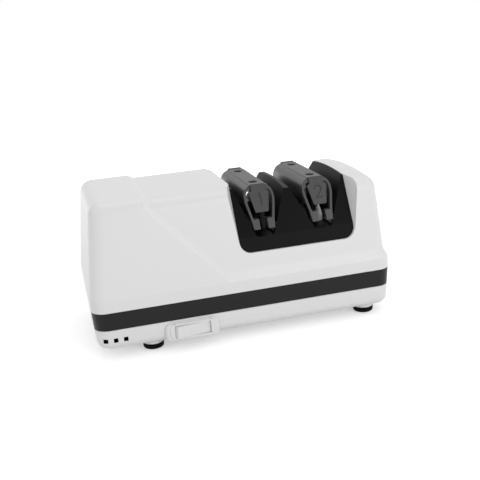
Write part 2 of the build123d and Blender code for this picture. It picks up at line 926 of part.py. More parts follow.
def mirrored(half, x):
    """Closed outline about the line x from the points of its right half, top to bottom."""
    right = [(x + dx, z) for dx, z in half]
    left = [(x - dx, z) for dx, z in reversed(half)]
    return right + left


def guide_level(share):
    """Height at a share of the way from the guides' feet to their top."""
    return foot_low + share * (guide_top - foot_low)


def inner_corner(before, corner, after):
    """Corner of the leaf's inner face, its thickness behind the corner of the outer face."""
    into = (Vector(*corner) - Vector(*before)).normalized()
    out_of = (Vector(*after) - Vector(*corner)).normalized()
    across = Vector(into.Y + out_of.Y, -into.X - out_of.X) / (1 + into.dot(out_of))
    return corner[0] + leaf_thickness * across.X, corner[1] + leaf_thickness * across.Y


def leaf_outline(x):
    """Upside-down U with round shoulders, bulging arms, thick feet and a seat for the strip."""
    knee = guide_level(leaf_knee_share)
    arm = [
        (strip_width / 2, guide_top - strip_line),
        (leaf_brow_width / 2, guide_level(leaf_brow_share)),
        (leaf_width / 2, guide_level(leaf_shoulder_share)),
        (leaf_width / 2, guide_level(leaf_waist_share)),
        (leaf_knee_width / 2, knee),
    ]
    inner_arm = [inner_corner(*corners) for corners in zip(arm, arm[1:], arm[2:])]
    foot = [
        (foot_width / 2, foot_low),
        (foot_gap / 2, foot_low),
        (foot_gap / 2, knee),
        (leaf_knee_width / 2 - leaf_thickness, knee),
    ]
    seat = [(strip_width / 2 - leaf_thickness, post_top)]
    half = [(strip_width / 2, guide_top - strip_thickness)] + arm + foot + inner_arm[::-1] + seat
    inner_bends = [waist_bend - leaf_thickness, shoulder_bend - leaf_thickness, seat_bend]
    radii = [0, 0, brow_bend, shoulder_bend, waist_bend, knee_bend, 0, 0, 0, 0, *inner_bends, 0]
    return mirrored(half, x), radii + radii[::-1]


def plate_form(x):
    """Keystone plate over the leaning front end of a guide."""
    lean = radians(guide_lean)
    middle = (x, -guide_length / 2, guide_top)
    facing = Plane(origin=middle, x_dir=(1, 0, 0), z_dir=(0, -cos(lean), sin(lean)))
    half = [
        (plate_neck_width / 2, 0),
        (plate_neck_width / 2, (guide_level(plate_notch_share) - guide_top) / cos(lean)),
        (plate_shoulder_width / 2, (guide_level(plate_shoulder_share) - guide_top) / cos(lean)),
        (plate_bottom_width / 2, (guide_level(plate_bottom_share) - guide_top) / cos(lean)),
    ]
    radii = [0, plate_notch, plate_corner, plate_corner]
    with BuildSketch(facing) as outline:
        with BuildLine():
            FilletPolyline(*mirrored(half, 0), radius=radii + radii[::-1], close=True)
        make_face()
    return extrude(outline.sketch, amount=plate_thickness)


def leaf_form(x):
    """Spring leaf of one stage, cut to the leaning ends and open over the discs between its feet."""
    points, radii = leaf_outline(x)
    sides = side_prism(guide_ends(guide_top, foot_low), [0] * 4, x - leaf_width, x + leaf_width)
    room = guide_ends(spindle_height + disc_radius + disc_clearance, foot_low - over, foot_length)
    between_feet = side_prism(room, [0] * 4, x - leaf_width, x + leaf_width)
    return (front_prism(points, radii, past_body) & sides) - between_feet


def strip_form(x):
    """Top strip of one stage with a keystone plate at each end."""
    low = guide_top - strip_thickness
    ends = guide_ends(guide_top, low)
    half_width = strip_width / 2 - strip_fit
    plate = plate_form(x)
    return side_prism(ends, [0] * 4, x - half_width, x + half_width) + plate + mirror(plate, about=Plane.XZ)


leaf_at_middle = leaf_form(0)
leaves = [Pos(x, 0, 0) * leaf_at_middle for x in stages]
strips = [strip_form(x) for x in stages]

for number, (x, leaf) in enumerate(zip(stages, leaves), start=1):
    with BuildPart() as guide_spring:
        add(leaf)
        with BuildSketch(Plane.XY.offset(post_top)):
            with Locations(*[(x, side * post_offset) for side in (-1, 1)]):
                Circle(guide_screw_radius + screw_hole_fit)
        extrude(amount=leaf_thickness, mode=Mode.SUBTRACT)
    guide_spring.part.label = f"guide_spring_{number}"
    export_step(guide_spring.part, f"parts/guide_spring_{number}.step")

for number, (x, strip) in enumerate(zip(stages, strips), start=1):
    with BuildPart() as guide_strip:
        add(strip)
        # Holes round the screw heads, which clamp the spring under the strip
        with BuildSketch(Plane.XY.offset(guide_top)):
            with Locations(*[(x, side * post_offset) for side in (-1, 1)]):
                Circle(guide_screw_head + guide_screw_room)
        extrude(amount=-strip_thickness, mode=Mode.SUBTRACT)
        rims = guide_strip.edges().filter_by(GeomType.CIRCLE).group_by(Axis.Z)[-1]
        chamfer(rims, guide_screw_rim)
    guide_strip.part.label = f"guide_strip_{number}"
    export_step(guide_strip.part, f"parts/guide_strip_{number}.step")

screw_seat_level = guide_top - strip_thickness

with BuildPart() as guide_screws:
    with BuildSketch(Plane.XY.offset(screw_seat_level)):
        with Locations(*post_places):
            Circle(guide_screw_head)
    extrude(amount=guide_screw_head_height)
    with BuildSketch(Plane.XY.offset(screw_seat_level)):
        with Locations(*post_places):
            Circle(guide_screw_radius)
    extrude(amount=-leaf_thickness - guide_screw_bite)
guide_screws.part.label = "guide_screws"
export_step(guide_screws.part, "parts/guide_screws.step")

# ---------------------------------------------------------------- spindle and discs

pin_places = [(x + side * pin_place, 0) for x in stages for side in (-1, 1)]
pins = upright(pin_places, pin_radius, spindle_height - pin_length / 2, spindle_height + pin_length / 2)

with BuildPart() as spindle:
    with BuildSketch(Plane.YZ.offset(spindle_left)):
        with Locations((0, spindle_height)):
            Circle(spindle_radius)
    extrude(amount=spindle_right - spindle_left)
    chamfer(spindle.edges().filter_by(GeomType.CIRCLE), spindle_chamfer)
    add(pins, mode=Mode.SUBTRACT)
spindle.part.label = "spindle"
export_step(spindle.part, "parts/spindle.step")

with BuildPart() as drive_pins:
    add(pins)
drive_pins.part.label = "drive_pins"
export_step(drive_pins.part, "parts/drive_pins.step")

disc_bore = spindle_radius + running_fit
disc_step = disc_radius - disc_rim_depth
disc_section = [
    (disc_seat, disc_bore),
    (disc_hub_outer, disc_bore),
    (disc_hub_outer, disc_hub_radius),
    (disc_seat + disc_web_thickness, disc_hub_radius),
    (disc_seat + disc_web_thickness, disc_step),
    (disc_rim_outer, disc_step),
    (disc_rim_outer - disc_cone, disc_radius - disc_bevel_depth),
    (disc_rim_outer - disc_cone - disc_bevel_width, disc_radius),
    (disc_rim_inner, disc_radius),
    (disc_rim_inner, disc_step),
    (disc_seat, disc_step),
]
spindle_axis = Axis((0, 0, spindle_height), (1, 0, 0))
slot_bottom = pin_place - pin_radius - running_fit

for number, x in enumerate(stages, start=1):
    for name, side in (("left", -1), ("right", 1)):
        with BuildPart() as disc:
            with BuildSketch(Plane.XZ):
                with BuildLine():
                    Polyline(*[(x + side * u, spindle_height + r) for u, r in disc_section], close=True)
                make_face()
            revolve(axis=spindle_axis)
            # Slot in the hub that the drive pin turns, open outwards so that the disc can slide in
            with BuildSketch(Plane.YZ.offset(x + side * slot_bottom)):
                with Locations((0, spindle_height)):
                    Rectangle(2 * (pin_radius + pin_slot_fit), 2 * disc_hub_radius + over)
            extrude(amount=side * (disc_hub_outer - slot_bottom + over), mode=Mode.SUBTRACT)
        disc.part.label = f"disc_{number}_{name}"
        export_step(disc.part, f"parts/disc_{number}_{name}.step")

spring_run = disc_seat - spring_wire / 2 - running_fit

for number, x in enumerate(stages, start=1):
    with BuildPart() as disc_spring:
        with BuildLine() as coil_path:
            start = (x - spring_run, 0, spindle_height)
            pitch = 2 * spring_run / spring_turns
            Helix(pitch, 2 * spring_run, spring_radius, center=start, direction=(1, 0, 0))
        with BuildSketch(coil_path.line ^ 0):
            Rectangle(spring_wire, spring_wire)
        sweep(is_frenet=True)
    disc_spring.part.label = f"disc_spring_{number}"
    export_step(disc_spring.part, f"parts/disc_spring_{number}.step")

# ---------------------------------------------------------------- motor

rotor_left = stack_left - end_ring_length
rotor_length = stack_length + 2 * end_ring_length
rotor_form = rod(stack_left, rotor_radius, spindle_height, stack_length)
rotor_form = rotor_form + rod(rotor_left, end_ring_radius, spindle_height, rotor_length)

with BuildPart() as rotor:
    add(rotor_form)
    with BuildSketch(Plane.YZ.offset(rotor_left)):
        with Locations((0, spindle_height)):
            Circle(spindle_radius)
    extrude(amount=rotor_length, mode=Mode.SUBTRACT)
rotor.part.label = "rotor"
export_step(rotor.part, "parts/rotor.step")

window_low = stack_bottom + leg_height
bolt_places = [(side * bolt_offset, spindle_height) for side in (-1, 1)]

with BuildPart() as stator_stack:
    with BuildSketch(Plane.YZ.offset(stack_left)):
        with Locations((0, (stack_top + stack_bottom) / 2)):
            Rectangle(stack_width, stack_top - stack_bottom)
        with Locations((0, spindle_height)):
            Circle(bore_radius, mode=Mode.SUBTRACT)
        with Locations((0, window_low + window_height / 2)):
            Rectangle(window_width, window_height, mode=Mode.SUBTRACT)
        with Locations(*bolt_places):
            Circle(bolt_radius, mode=Mode.SUBTRACT)
    extrude(amount=stack_length)
stator_stack.part.label = "stator_stack"
export_step(stator_stack.part, "parts/stator_stack.step")


def sleeve(build, reach):
    """Box around the stator's lower leg, standing off it by build and reaching to +-reach in Y."""
    with BuildSketch(Plane.XZ.offset(-reach)) as outline:
        with Locations((stack_middle, stack_bottom + leg_height / 2)):
            RectangleRounded(stack_length + 2 * build, leg_height + 2 * build, min(build, coil_corner))
    return extrude(outline.sketch, amount=2 * reach)


bobbin_reach = window_width / 2 - coil_fit
bobbin_inner = coil_fit
bobbin_outer = coil_fit + bobbin_wall
coil_outer = bobbin_outer + coil_build
flange_outer = coil_outer + bobbin_lip
flanges = sleeve(flange_outer, bobbin_reach) - sleeve(flange_outer + over, bobbin_reach - bobbin_wall)
bobbin_form = sleeve(bobbin_outer, bobbin_reach) + flanges - sleeve(bobbin_inner, bobbin_reach + over)
coil_form = sleeve(coil_outer, bobbin_reach - bobbin_wall) - sleeve(bobbin_outer, bobbin_reach)

with BuildPart() as coil_bobbin:
    add(bobbin_form)
coil_bobbin.part.label = "coil_bobbin"
export_step(coil_bobbin.part, "parts/coil_bobbin.step")

with BuildPart() as motor_coil:
    add(coil_form)
motor_coil.part.label = "motor_coil"
export_step(motor_coil.part, "parts/motor_coil.step")

for name, side, face in (("motor_bridge_left", -1, stack_left), ("motor_bridge_right", 1, stack_right)):
    plate = face + side * bridge_standoff
    outer = plate + side * bridge_thickness
    with BuildPart() as bridge:
        with BuildSketch(Plane.YZ.offset(plate)) as bar:
            with Locations((0, spindle_height)):
                Rectangle(stack_width, bridge_bar_height)
            with Locations(*[(y, (mount_height + spindle_height) / 2) for y in (-bolt_offset, bolt_offset)]):
                Rectangle(bridge_leg_width, spindle_height - mount_height)
            fillet(bar.vertices().group_by(Axis.Y)[-1], bridge_corner)
        extrude(amount=side * bridge_thickness)
        # Bearing boss, pillars to the stack and feet on the tray's posts
        with BuildSketch(Plane.YZ.offset(plate)):
            with Locations((0, spindle_height)):
                Circle(bridge_boss_radius)
        extrude(amount=side * bush_length)
        with BuildSketch(Plane.YZ.offset(face)):
            with Locations(*bolt_places):
                Circle(bridge_leg_width / 2)
        extrude(amount=side * bridge_standoff)
        with BuildSketch(Plane.XY.offset(mount_height)):
            with Locations(*[(outer + side * mount_reach / 2, side_y * bolt_offset) for side_y in (-1, 1)]):
                Rectangle(mount_reach, bridge_leg_width)
        extrude(amount=mount_tab)
        with BuildSketch(Plane.XY.offset(mount_height)):
            with Locations(*[(outer + side * mount_reach / 2, side_y * bolt_offset) for side_y in (-1, 1)]):
                Circle(mount_screw_radius)
        extrude(amount=mount_tab, mode=Mode.SUBTRACT)
        with BuildSketch(Plane.YZ.offset(plate)):
            with Locations((0, spindle_height)):
                Circle(bush_radius)
        extrude(amount=side * bush_length, mode=Mode.SUBTRACT)
        with BuildSketch(Plane.YZ.offset(face)):
            with Locations(*bolt_places):
                Circle(bolt_radius)
        extrude(amount=side * (bridge_standoff + bridge_thickness), mode=Mode.SUBTRACT)
    bridge.part.label = name
    export_step(bridge.part, f"parts/{name}.step")

bush_lefts = {
    "spindle_bush_left": stack_left - bridge_standoff - bush_length,
    "spindle_bush_middle": stack_right + bridge_standoff,
    "spindle_bush_right": pillar_left,
}

for name, x in bush_lefts.items():
    with BuildPart() as bush:
        with BuildSketch(Plane.YZ.offset(x)):
            with Locations((0, spindle_height)):
                Circle(bush_radius)
                Circle(spindle_radius + running_fit, mode=Mode.SUBTRACT)
        extrude(amount=bush_length)
    bush.part.label = name
    export_step(bush.part, f"parts/{name}.step")

with BuildPart() as spindle_collars:
    # Collars between the rotor and the two bushes beside it
    with BuildSketch(Plane.YZ.offset(stack_left - bridge_standoff + collar_gap)):
        with Locations((0, spindle_height)):
            Circle(collar_radius)
            Circle(spindle_radius, mode=Mode.SUBTRACT)
    extrude(amount=bridge_standoff - end_ring_length - collar_gap)
    with BuildSketch(Plane.YZ.offset(stack_right + end_ring_length)):
        with Locations((0, spindle_height)):
            Circle(collar_radius)
            Circle(spindle_radius, mode=Mode.SUBTRACT)
    extrude(amount=bridge_standoff - end_ring_length - collar_gap)
spindle_collars.part.label = "spindle_collars"
export_step(spindle_collars.part, "parts/spindle_collars.step")

bolt_left = stack_left - bridge_standoff - bridge_thickness
bolt_right = stack_right + bridge_standoff + bridge_thickness

with BuildPart() as motor_bolts:
    with BuildSketch(Plane.YZ.offset(bolt_left)):
        with Locations(*bolt_places):
            Circle(bolt_radius)
    extrude(amount=bolt_right - bolt_left)
    for x, way in ((bolt_left, -1), (bolt_right, 1)):
        with BuildSketch(Plane.YZ.offset(x)):
            with Locations(*bolt_places):
                RegularPolygon(bolt_head_radius, 6)
        extrude(amount=way * bolt_head_height)
motor_bolts.part.label = "motor_bolts"
export_step(motor_bolts.part, "parts/motor_bolts.step")

with BuildPart() as mount_screws:
    with BuildSketch(Plane.XY.offset(floor_top)):
        with Locations(*mount_posts):
            Circle(mount_screw_radius)
    extrude(amount=mount_height + mount_tab - floor_top)
    with BuildSketch(Plane.XY.offset(mount_height + mount_tab)):
        with Locations(*mount_posts):
            Circle(screw_head_radius)
    extrude(amount=screw_head_height)
mount_screws.part.label = "mount_screws"
export_step(mount_screws.part, "parts/mount_screws.step")

# ---------------------------------------------------------------- fan

with BuildPart() as fan:
    with BuildSketch(Plane.YZ.offset(fan_right)):
        with Locations((0, spindle_height)):
            Circle(fan_radius)
    extrude(amount=-fan_plate)
    with BuildSketch(Plane.YZ.offset(fan_right)):
        with Locations((0, spindle_height)):
            with PolarLocations((fan_radius + fan_hub_radius) / 2 - fan_bite / 2, fan_blades):
                Rectangle(fan_radius - fan_hub_radius + fan_bite, fan_blade)
        with Locations((0, spindle_height)):
            Circle(fan_hub_radius)
    extrude(amount=-fan_width)
    with BuildSketch(Plane.YZ.offset(fan_right)):
        with Locations((0, spindle_height)):
            Circle(spindle_radius)
    extrude(amount=-fan_width, mode=Mode.SUBTRACT)
fan.part.label = "fan"
export_step(fan.part, "parts/fan.step")

# ---------------------------------------------------------------- outer bearing

with BuildPart() as bearing_cap:
    with BuildSketch(Plane.YZ.offset(pillar_left)):
        with Locations((0, spindle_height)):
            Circle(pillar_cap)
            Rectangle(2 * pillar_cap, 2 * pillar_cap, align=(Align.CENTER, Align.MAX), mode=Mode.SUBTRACT)
        with Locations(*[(side * ear_y, spindle_height + cap_ear_height / 2) for side in (-1, 1)]):
            Rectangle(cap_ear, cap_ear_height)
        with Locations((0, spindle_height)):
            Circle(bush_radius, mode=Mode.SUBTRACT)
    extrude(amount=bush_length)
    with BuildSketch(Plane.XY.offset(spindle_height)):
        with Locations(*cap_screw_places):
            Circle(cap_screw_radius)
    extrude(amount=cap_ear_height, mode=Mode.SUBTRACT)
bearing_cap.part.label = "bearing_cap"
export_step(bearing_cap.part, "parts/bearing_cap.step")

with BuildPart() as cap_screws:
    with BuildSketch(Plane.XY.offset(spindle_height - cap_ear_height)):
        with Locations(*cap_screw_places):
            Circle(cap_screw_radius)
    extrude(amount=2 * cap_ear_height)
    with BuildSketch(Plane.XY.offset(spindle_height + cap_ear_height)):
        with Locations(*cap_screw_places):
            Circle(screw_head_radius)
    extrude(amount=screw_head_height)
cap_screws.part.label = "cap_screws"
export_step(cap_screws.part, "parts/cap_screws.step")

# ---------------------------------------------------------------- switch

bezel_face = boss_face + bezel_thickness
body_back = boss_face - switch_body_depth
rocker_room = rocker_radius + rocker_gap
mouth_half = sqrt(rocker_room**2 - rocker_pivot_depth**2)

with BuildPart() as switch_housing:
    with BuildSketch(Plane.XZ.offset(boss_face)):
        with Locations((switch_x, switch_z)):
            RectangleRounded(bezel_width, bezel_height, bezel_corner)
    extrude(amount=bezel_thickness)
    with BuildSketch(Plane.XZ.offset(boss_face)):
        with Locations((switch_x, switch_z)):
            Rectangle(switch_body_width, switch_body_height)
    extrude(amount=-switch_body_depth)
    # Pocket for the rocker: round about its pivot, straight behind it
    with BuildSketch(Plane.XY.offset(switch_z - rocker_height / 2 - rocker_gap)):
        with Locations((switch_x, pivot_y)):
            Circle(rocker_room)
            Rectangle(2 * rocker_room, switch_body_depth, align=(Align.CENTER, Align.MIN), mode=Mode.SUBTRACT)
        with Locations((switch_x, pivot_y)):
            Rectangle(2 * rocker_room, pocket_depth, align=(Align.CENTER, Align.MIN))
    extrude(amount=rocker_height + 2 * rocker_gap, mode=Mode.SUBTRACT)
    pivot_low = switch_z - rocker_height / 2 - rocker_gap - trunnion_length
    with BuildSketch(Plane.XY.offset(pivot_low)):
        with Locations((switch_x, pivot_y)):
            Circle(trunnion_radius + running_fit)
    extrude(amount=2 * (switch_z - pivot_low), mode=Mode.SUBTRACT)
switch_housing.part.label = "switch_housing"
export_step(switch_housing.part, "parts/switch_housing.step")

with BuildPart() as rocker:
    with BuildSketch(Plane.XY.offset(switch_z - rocker_height / 2)) as cheek:
        with Locations((switch_x, pivot_y)):
            Circle(rocker_radius)
        with BuildLine(mode=Mode.PRIVATE) as face_line:
            Polyline(
                (switch_x - rocker_radius, pivot_y - rocker_face),
                (switch_x + rocker_crease_place, pivot_y - rocker_face + rocker_crease),
                (switch_x + rocker_radius, pivot_y - rocker_face),
                (switch_x + rocker_radius, pivot_y - rocker_back),
                (switch_x - rocker_radius, pivot_y - rocker_back),
                close=True,
            )
        add(make_face(face_line.edges(), mode=Mode.PRIVATE), mode=Mode.INTERSECT)
        with Locations((switch_x, pivot_y)):
            Circle(rocker_barrel)
    extrude(amount=rocker_height)
    with BuildSketch(Plane.XY.offset(switch_z - rocker_height / 2 - rocker_gap / 2 - trunnion_length)):
        with Locations((switch_x, pivot_y)):
            Circle(trunnion_radius)
    extrude(amount=rocker_height + rocker_gap + 2 * trunnion_length)
rocker.part = rocker.part.rotate(Axis((switch_x, pivot_y, 0), (0, 0, 1)), rocker_tilt)
rocker.part.label = "rocker"
export_step(rocker.part, "parts/rocker.step")

with BuildPart() as switch_terminals:
    with BuildSketch(Plane.XZ.offset(body_back)):
        with Locations((switch_x, switch_z)):
            with GridLocations(terminal_pitch, 0, 2, 1):
                Rectangle(terminal_width, terminal_thickness)
    extrude(amount=-terminal_length)
switch_terminals.part.label = "switch_terminals"
export_step(switch_terminals.part, "parts/switch_terminals.step")
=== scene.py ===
import math

import bmesh
import bpy
from bpy.props import FloatProperty, FloatVectorProperty, PointerProperty
from mathutils import Matrix, Vector


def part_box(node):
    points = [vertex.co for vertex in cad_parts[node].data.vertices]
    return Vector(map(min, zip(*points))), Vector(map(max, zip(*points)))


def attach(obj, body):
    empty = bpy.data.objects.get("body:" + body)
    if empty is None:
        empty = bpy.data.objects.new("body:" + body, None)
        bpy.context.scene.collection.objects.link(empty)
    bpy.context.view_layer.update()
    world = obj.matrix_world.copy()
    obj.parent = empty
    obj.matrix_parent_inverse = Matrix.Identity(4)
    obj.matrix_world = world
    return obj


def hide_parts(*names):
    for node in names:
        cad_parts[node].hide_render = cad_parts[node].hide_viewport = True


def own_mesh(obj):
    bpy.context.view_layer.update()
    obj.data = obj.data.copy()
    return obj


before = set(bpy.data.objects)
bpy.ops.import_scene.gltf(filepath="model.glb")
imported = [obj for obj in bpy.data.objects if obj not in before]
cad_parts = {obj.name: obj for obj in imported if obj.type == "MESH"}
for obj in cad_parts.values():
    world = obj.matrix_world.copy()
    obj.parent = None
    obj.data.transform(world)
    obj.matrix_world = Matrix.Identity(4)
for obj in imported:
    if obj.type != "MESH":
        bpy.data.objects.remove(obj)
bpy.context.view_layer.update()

bl_info = {
    "name": "Two-stage knife sharpener",
    "version": (1, 0, 0),
    "blender": (4, 5, 0),
    "location": "3D view > Sidebar > Sharpener",
    "description": "Dresses the packed knife sharpener and sets it on a pale studio floor",
    "category": "Object",
}

# ---- finishes

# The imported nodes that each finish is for. A finish is the name of a material.
FINISHED_NODES = {
    "white case": ("upper_housing",),
    "white tray": ("base_tray",),
    "white bezel": ("switch_housing",),
    "white rocker": ("rocker",),
    "dark stripe": ("stripe_band",),
    "black insert": ("slot_insert",),
    "grey guide": ("guide_spring_1", "guide_spring_2"),
    "black moulding": ("bearing_cap", "fan", "cord_inlet"),
    "nylon": ("coil_bobbin",),
    "coarse abrasive": ("disc_1_left", "disc_1_right"),
    "fine abrasive": ("disc_2_left", "disc_2_right"),
    "bright steel": ("magnet_bars_1", "magnet_bars_2"),
    "plated screw": ("motor_bolts",),
    "ground steel": ("spindle", "drive_pins", "spindle_collars"),
    "sintered bronze": ("spindle_bush_left", "spindle_bush_middle", "spindle_bush_right"),
    "laminated steel": ("rotor", "stator_stack"),
    "die casting": ("motor_bridge_left", "motor_bridge_right"),
    "tinned brass": ("switch_terminals",),
}

# Moulded finishes. Grain is the width of one grain and depth the height of its bump, in metres. Those
# without a colour take it from the user's values, and so do the white ones their grain.
WHITE_SKINS = {
    "white case": dict(roughness=0.33, depth=5e-6, drift=0.005, coat=0.05),
    "white tray": dict(roughness=0.33, depth=5e-6, drift=0.005, coat=0.05),
    "white rocker": dict(roughness=0.26, depth=4e-6, drift=0.005),
    "white bezel": dict(roughness=0.26, depth=4e-6, drift=0.005),
}
GUIDE_SKINS = {
    "grey guide": dict(roughness=0.36, grain=0.0005, depth=1.2e-5, drift=0.05, specular=0.55),
    "grey strip": dict(roughness=0.42, grain=0.0004, depth=2e-5, drift=0.06, specular=0.5),
}
STRIPE_SKIN = dict(roughness=0.36, grain=0.0006, depth=1e-5, drift=0.06, specular=0.2)
INSERT_SKIN = dict(roughness=0.4, grain=0.0007, depth=3e-5, drift=0.25, dust=0.003, specular=0.09)
PLASTICS = {
    "black moulding": dict(
        colour=(0.012, 0.012, 0.012, 1), roughness=0.45, grain=0.0008, depth=2e-5, drift=0.1),
    "foot rubber": dict(
        colour=(0.004, 0.004, 0.004, 1), roughness=0.6, grain=0.0006, depth=3e-5, drift=0.15,
        dust=0.002, specular=0.06),
    "nylon": dict(colour=(0.62, 0.6, 0.5, 1), roughness=0.4, grain=0.0008, depth=2e-5),
    "coarse abrasive": dict(
        colour=(0.03, 0.03, 0.032, 1), roughness=0.6, grain=0.0003, depth=1.2e-4, drift=0.5),
    "coarse grit": dict(
        colour=(0.05, 0.05, 0.052, 1), roughness=0.35, grain=0.0004, depth=4e-5, drift=0.5),
    # Black with no gloss at all: painted shade at the bottom of the sunk holes over the guide screws
    "black screw": dict(
        colour=(0.0025, 0.0025, 0.0025, 1), roughness=0.8, grain=0.0006, depth=1e-5, drift=0.1,
        specular=0.0),
}
GLOSS_DRIFT = 0.05
DUST_COLOUR = (0.5, 0.49, 0.47, 1)

# Metals. Stretch gives the lines in a metre along each axis, and depth the height of a line in metres.
METALS = {
    "fine abrasive": dict(
        colour=(0.6, 0.6, 0.6, 1), roughness=0.42, stretch=(2500, 2500, 2500), depth=4e-5, drift=0.2),
    "fine grit": dict(
        colour=(0.6, 0.6, 0.59, 1), roughness=0.35, stretch=(900, 900, 900), depth=1e-5, drift=0.2),
    "copper winding": dict(
        colour=(0.42, 0.16, 0.05, 1), roughness=0.35, stretch=(900, 300, 300), depth=2e-5),
    "plated screw": dict(
        colour=(0.55, 0.55, 0.52, 1), roughness=0.3, stretch=(900, 900, 900), depth=1e-5),
    "bright steel": dict(
        colour=(0.86, 0.86, 0.86, 1), roughness=0.4, stretch=(300, 300, 4000), depth=5e-6),
    "ground steel": dict(
        colour=(0.6, 0.6, 0.6, 1), roughness=0.25, stretch=(5000, 300, 300), depth=5e-6),
    "spring steel": dict(
        colour=(0.5, 0.5, 0.5, 1), roughness=0.3, stretch=(900, 900, 900), depth=5e-6),
    "laminated steel": dict(
        colour=(0.35, 0.35, 0.36, 1), roughness=0.4, stretch=(2200, 60, 60), depth=6e-5, drift=0.2),
    "sintered bronze": dict(
        colour=(0.5, 0.3, 0.13, 1), roughness=0.45, stretch=(900, 900, 900), depth=2e-5),
    "die casting": dict(
        colour=(0.55, 0.55, 0.55, 1), roughness=0.5, stretch=(1200, 1200, 1200), depth=4e-5),
    "tinned brass": dict(
        colour=(0.62, 0.56, 0.4, 1), roughness=0.3, stretch=(600, 3000, 600), depth=1e-5),
}

# Spaces painted black as painted shade, as their middle and half size: the inside of the tray, the square
# air vents through its front and back walls and through its left wall, and the wells behind both ends of
# the rocker
# The case is white inside: this black is painted shade, where the real openings only look dark
PAINTED_SHADE_BLACK = (0.004, 0.004, 0.004, 1)
TRAY_ROOM = ((0.0, 0.0, 0.032), (0.101, 0.047, 0.023))
VENT_HEIGHT = 0.0145
VENT_HALF = 0.00152
CROSS_VENTS = (-0.087, -0.0938, -0.1006)
CROSS_VENT_REACH = 0.06
END_VENT_PITCH = 0.0068
END_VENT_COUNT = 7
END_WALL = -0.1
END_VENT_REACH = 0.008
WELL_MIDDLE = -0.0478
WELL_HALF = (0.0011, 0.0078, 0.02)

# ---- pieces

MERGE_DISTANCE = 1e-6
FLAT_ANGLE = 0.001
ACROSS = Vector((1, 0, 0))

FEET = ("foot_front_left", "foot_back_left", "foot_front_right", "foot_back_right")

# Section of a rubber foot as radius and height: a cup that grips the end of its boss
FOOT_SECTION = (
    (0.0031, 0.0032), (0.0031, 0.0003), (0.0034, 0.0), (0.0056, 0.0), (0.0065, 0.0003), (0.0071, 0.0009),
    (0.0073, 0.0018), (0.0073, 0.0029), (0.0071, 0.0031), (0.0071, 0.0033), (0.0074, 0.0035),
    (0.0074, 0.0042), (0.0073, 0.0043), (0.00721, 0.0043), (0.00721, 0.0032))
FOOT_STEPS = 64
FOOT_SHARP_ANGLE = 0.7

# Rows of screws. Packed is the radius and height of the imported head, which give the screws' places, and
# head is the radius and height of the made one where it differs.
SCREW_ROWS = {
    # The made head is wider than the packed one, so its glossless black fills the sunk hole as painted
    # shade
    "guide_screws": dict(
        finish="black screw", packed=(0.0021, 0.001), head=(0.0029, 0.0005), shank=0.0012, heads_up=True),
    "insert_screws": dict(finish="plated screw", packed=(0.0027, 0.0022), shank=0.0014, heads_up=False),
    "case_screws": dict(finish="plated screw", packed=(0.0029, 0.0022), shank=0.0017, heads_up=False),
    "cap_screws": dict(finish="plated screw", packed=(0.0029, 0.0022), shank=0.0015, heads_up=True),
    "mount_screws": dict(finish="plated screw", packed=(0.0029, 0.0022), shank=0.0015, heads_up=True),
}
HEAD_SIDES = 32
HEAD_TAPER = 0.8
RECESS_LENGTH = 1.25
RECESS_DEPTH = 1.2
RECESS_TURN = 0.6
SHANK_SIDES = 20
THREAD_STEPS = 16
THREAD_SIDES = 3

# Section of the sunk hole over a guide screw: radius, and height over the screw's seat
HOLE_SECTION = ((0.003, 0.00003), (0.003, 0.0011), (0.0037, 0.0016), (0.0043, 0.002))
HOLE_STEPS = 40

# Middle line of each numeral, in parts of its height
NUMERALS = {
    "1": ((-0.17, 0.26), (0.06, 0.45), (0.06, -0.45)),
    "2": (
        (-0.26, 0.2), (-0.24, 0.31), (-0.17, 0.4), (-0.07, 0.45), (0.05, 0.45), (0.16, 0.41), (0.23, 0.33),
        (0.25, 0.22), (0.22, 0.1), (0.14, -0.02), (0.0, -0.18), (-0.14, -0.33), (-0.25, -0.45),
        (0.27, -0.45)),
}
MITRE_LIMIT = 1.3
LEANS_FORWARD = -0.5
SAME_WAY = 0.999

SPRING_STEPS = 32
SPRING_WIRE_SIDES = 10
WINDING_LAYERS = 2
WINDING_WIRE_SIDES = 6
WINDING_CORNER_STEPS = 4

# Abrasive faces: disc node, which is also its body, finish, record slot and seed
GRIT_FACES = (
    ("disc_1_left", "coarse grit", "abrasive_1", 11),
    ("disc_1_right", "coarse grit", "abrasive_1", 12),
    ("disc_2_left", "fine grit", "abrasive_2", 21),
    ("disc_2_right", "fine grit", "abrasive_2", 22),
)
GRIT_BAND = 0.008
GRIT_LEAST_LEAN, GRIT_MOST_LEAN = 0.15, 0.999
GRAIN_LEAST, GRAIN_MOST = (0.5, 0.5, 0.3), (1.1, 1.1, 0.8)

# ---- stage

# The floor's own glow rises over its reach from the middle, so that it's as white far off as the world
FLOOR_HALF = 4
FLOOR_COLOUR = (0.82, 0.82, 0.82, 1)
FLOOR_REACH = (0.2, 0.9)
FLOOR_GLOW = (0.42, 1.0)
WORLD_LIGHT = 0.7

# The dark side of the room that gloss mirrors: its direction, how near to it a ray has to be, and the
# light of the world off it and in its middle
DARK_SIDE = (0.0, -0.77, 0.64)
DARK_NEARNESS = (0.78, 0.96)
DARK_LIGHT = (1.0, 0.2)

# Soft boxes: name, the user's value that holds the power, place and width
LAMPS = (
    ("key light", "key_power", (0.4, -0.95, 0.45), 0.75),
    ("fill light", "fill_power", (-0.85, -0.35, 0.5), 0.6),
    ("top light", "top_power", (0.05, 0.15, 1.1), 0.9),
)
LAMP_AIM = (0, 0, 0.05)
CAMERA_PLACE = (-0.1217, -0.5479, 0.2233)
CAMERA_RIGHT = (0.964, -0.254, -0.075)
CAMERA_FORWARD = (0.223, 0.932, -0.285)
SENSOR_WIDTH = 36.0

FLOAT, INTEGER, VECTOR = "NodeSocketFloat", "NodeSocketInt", "NodeSocketVector"
COLOUR, GEOMETRY, MATERIAL = "NodeSocketColor", "NodeSocketGeometry", "NodeSocketMaterial"


# ---- user values


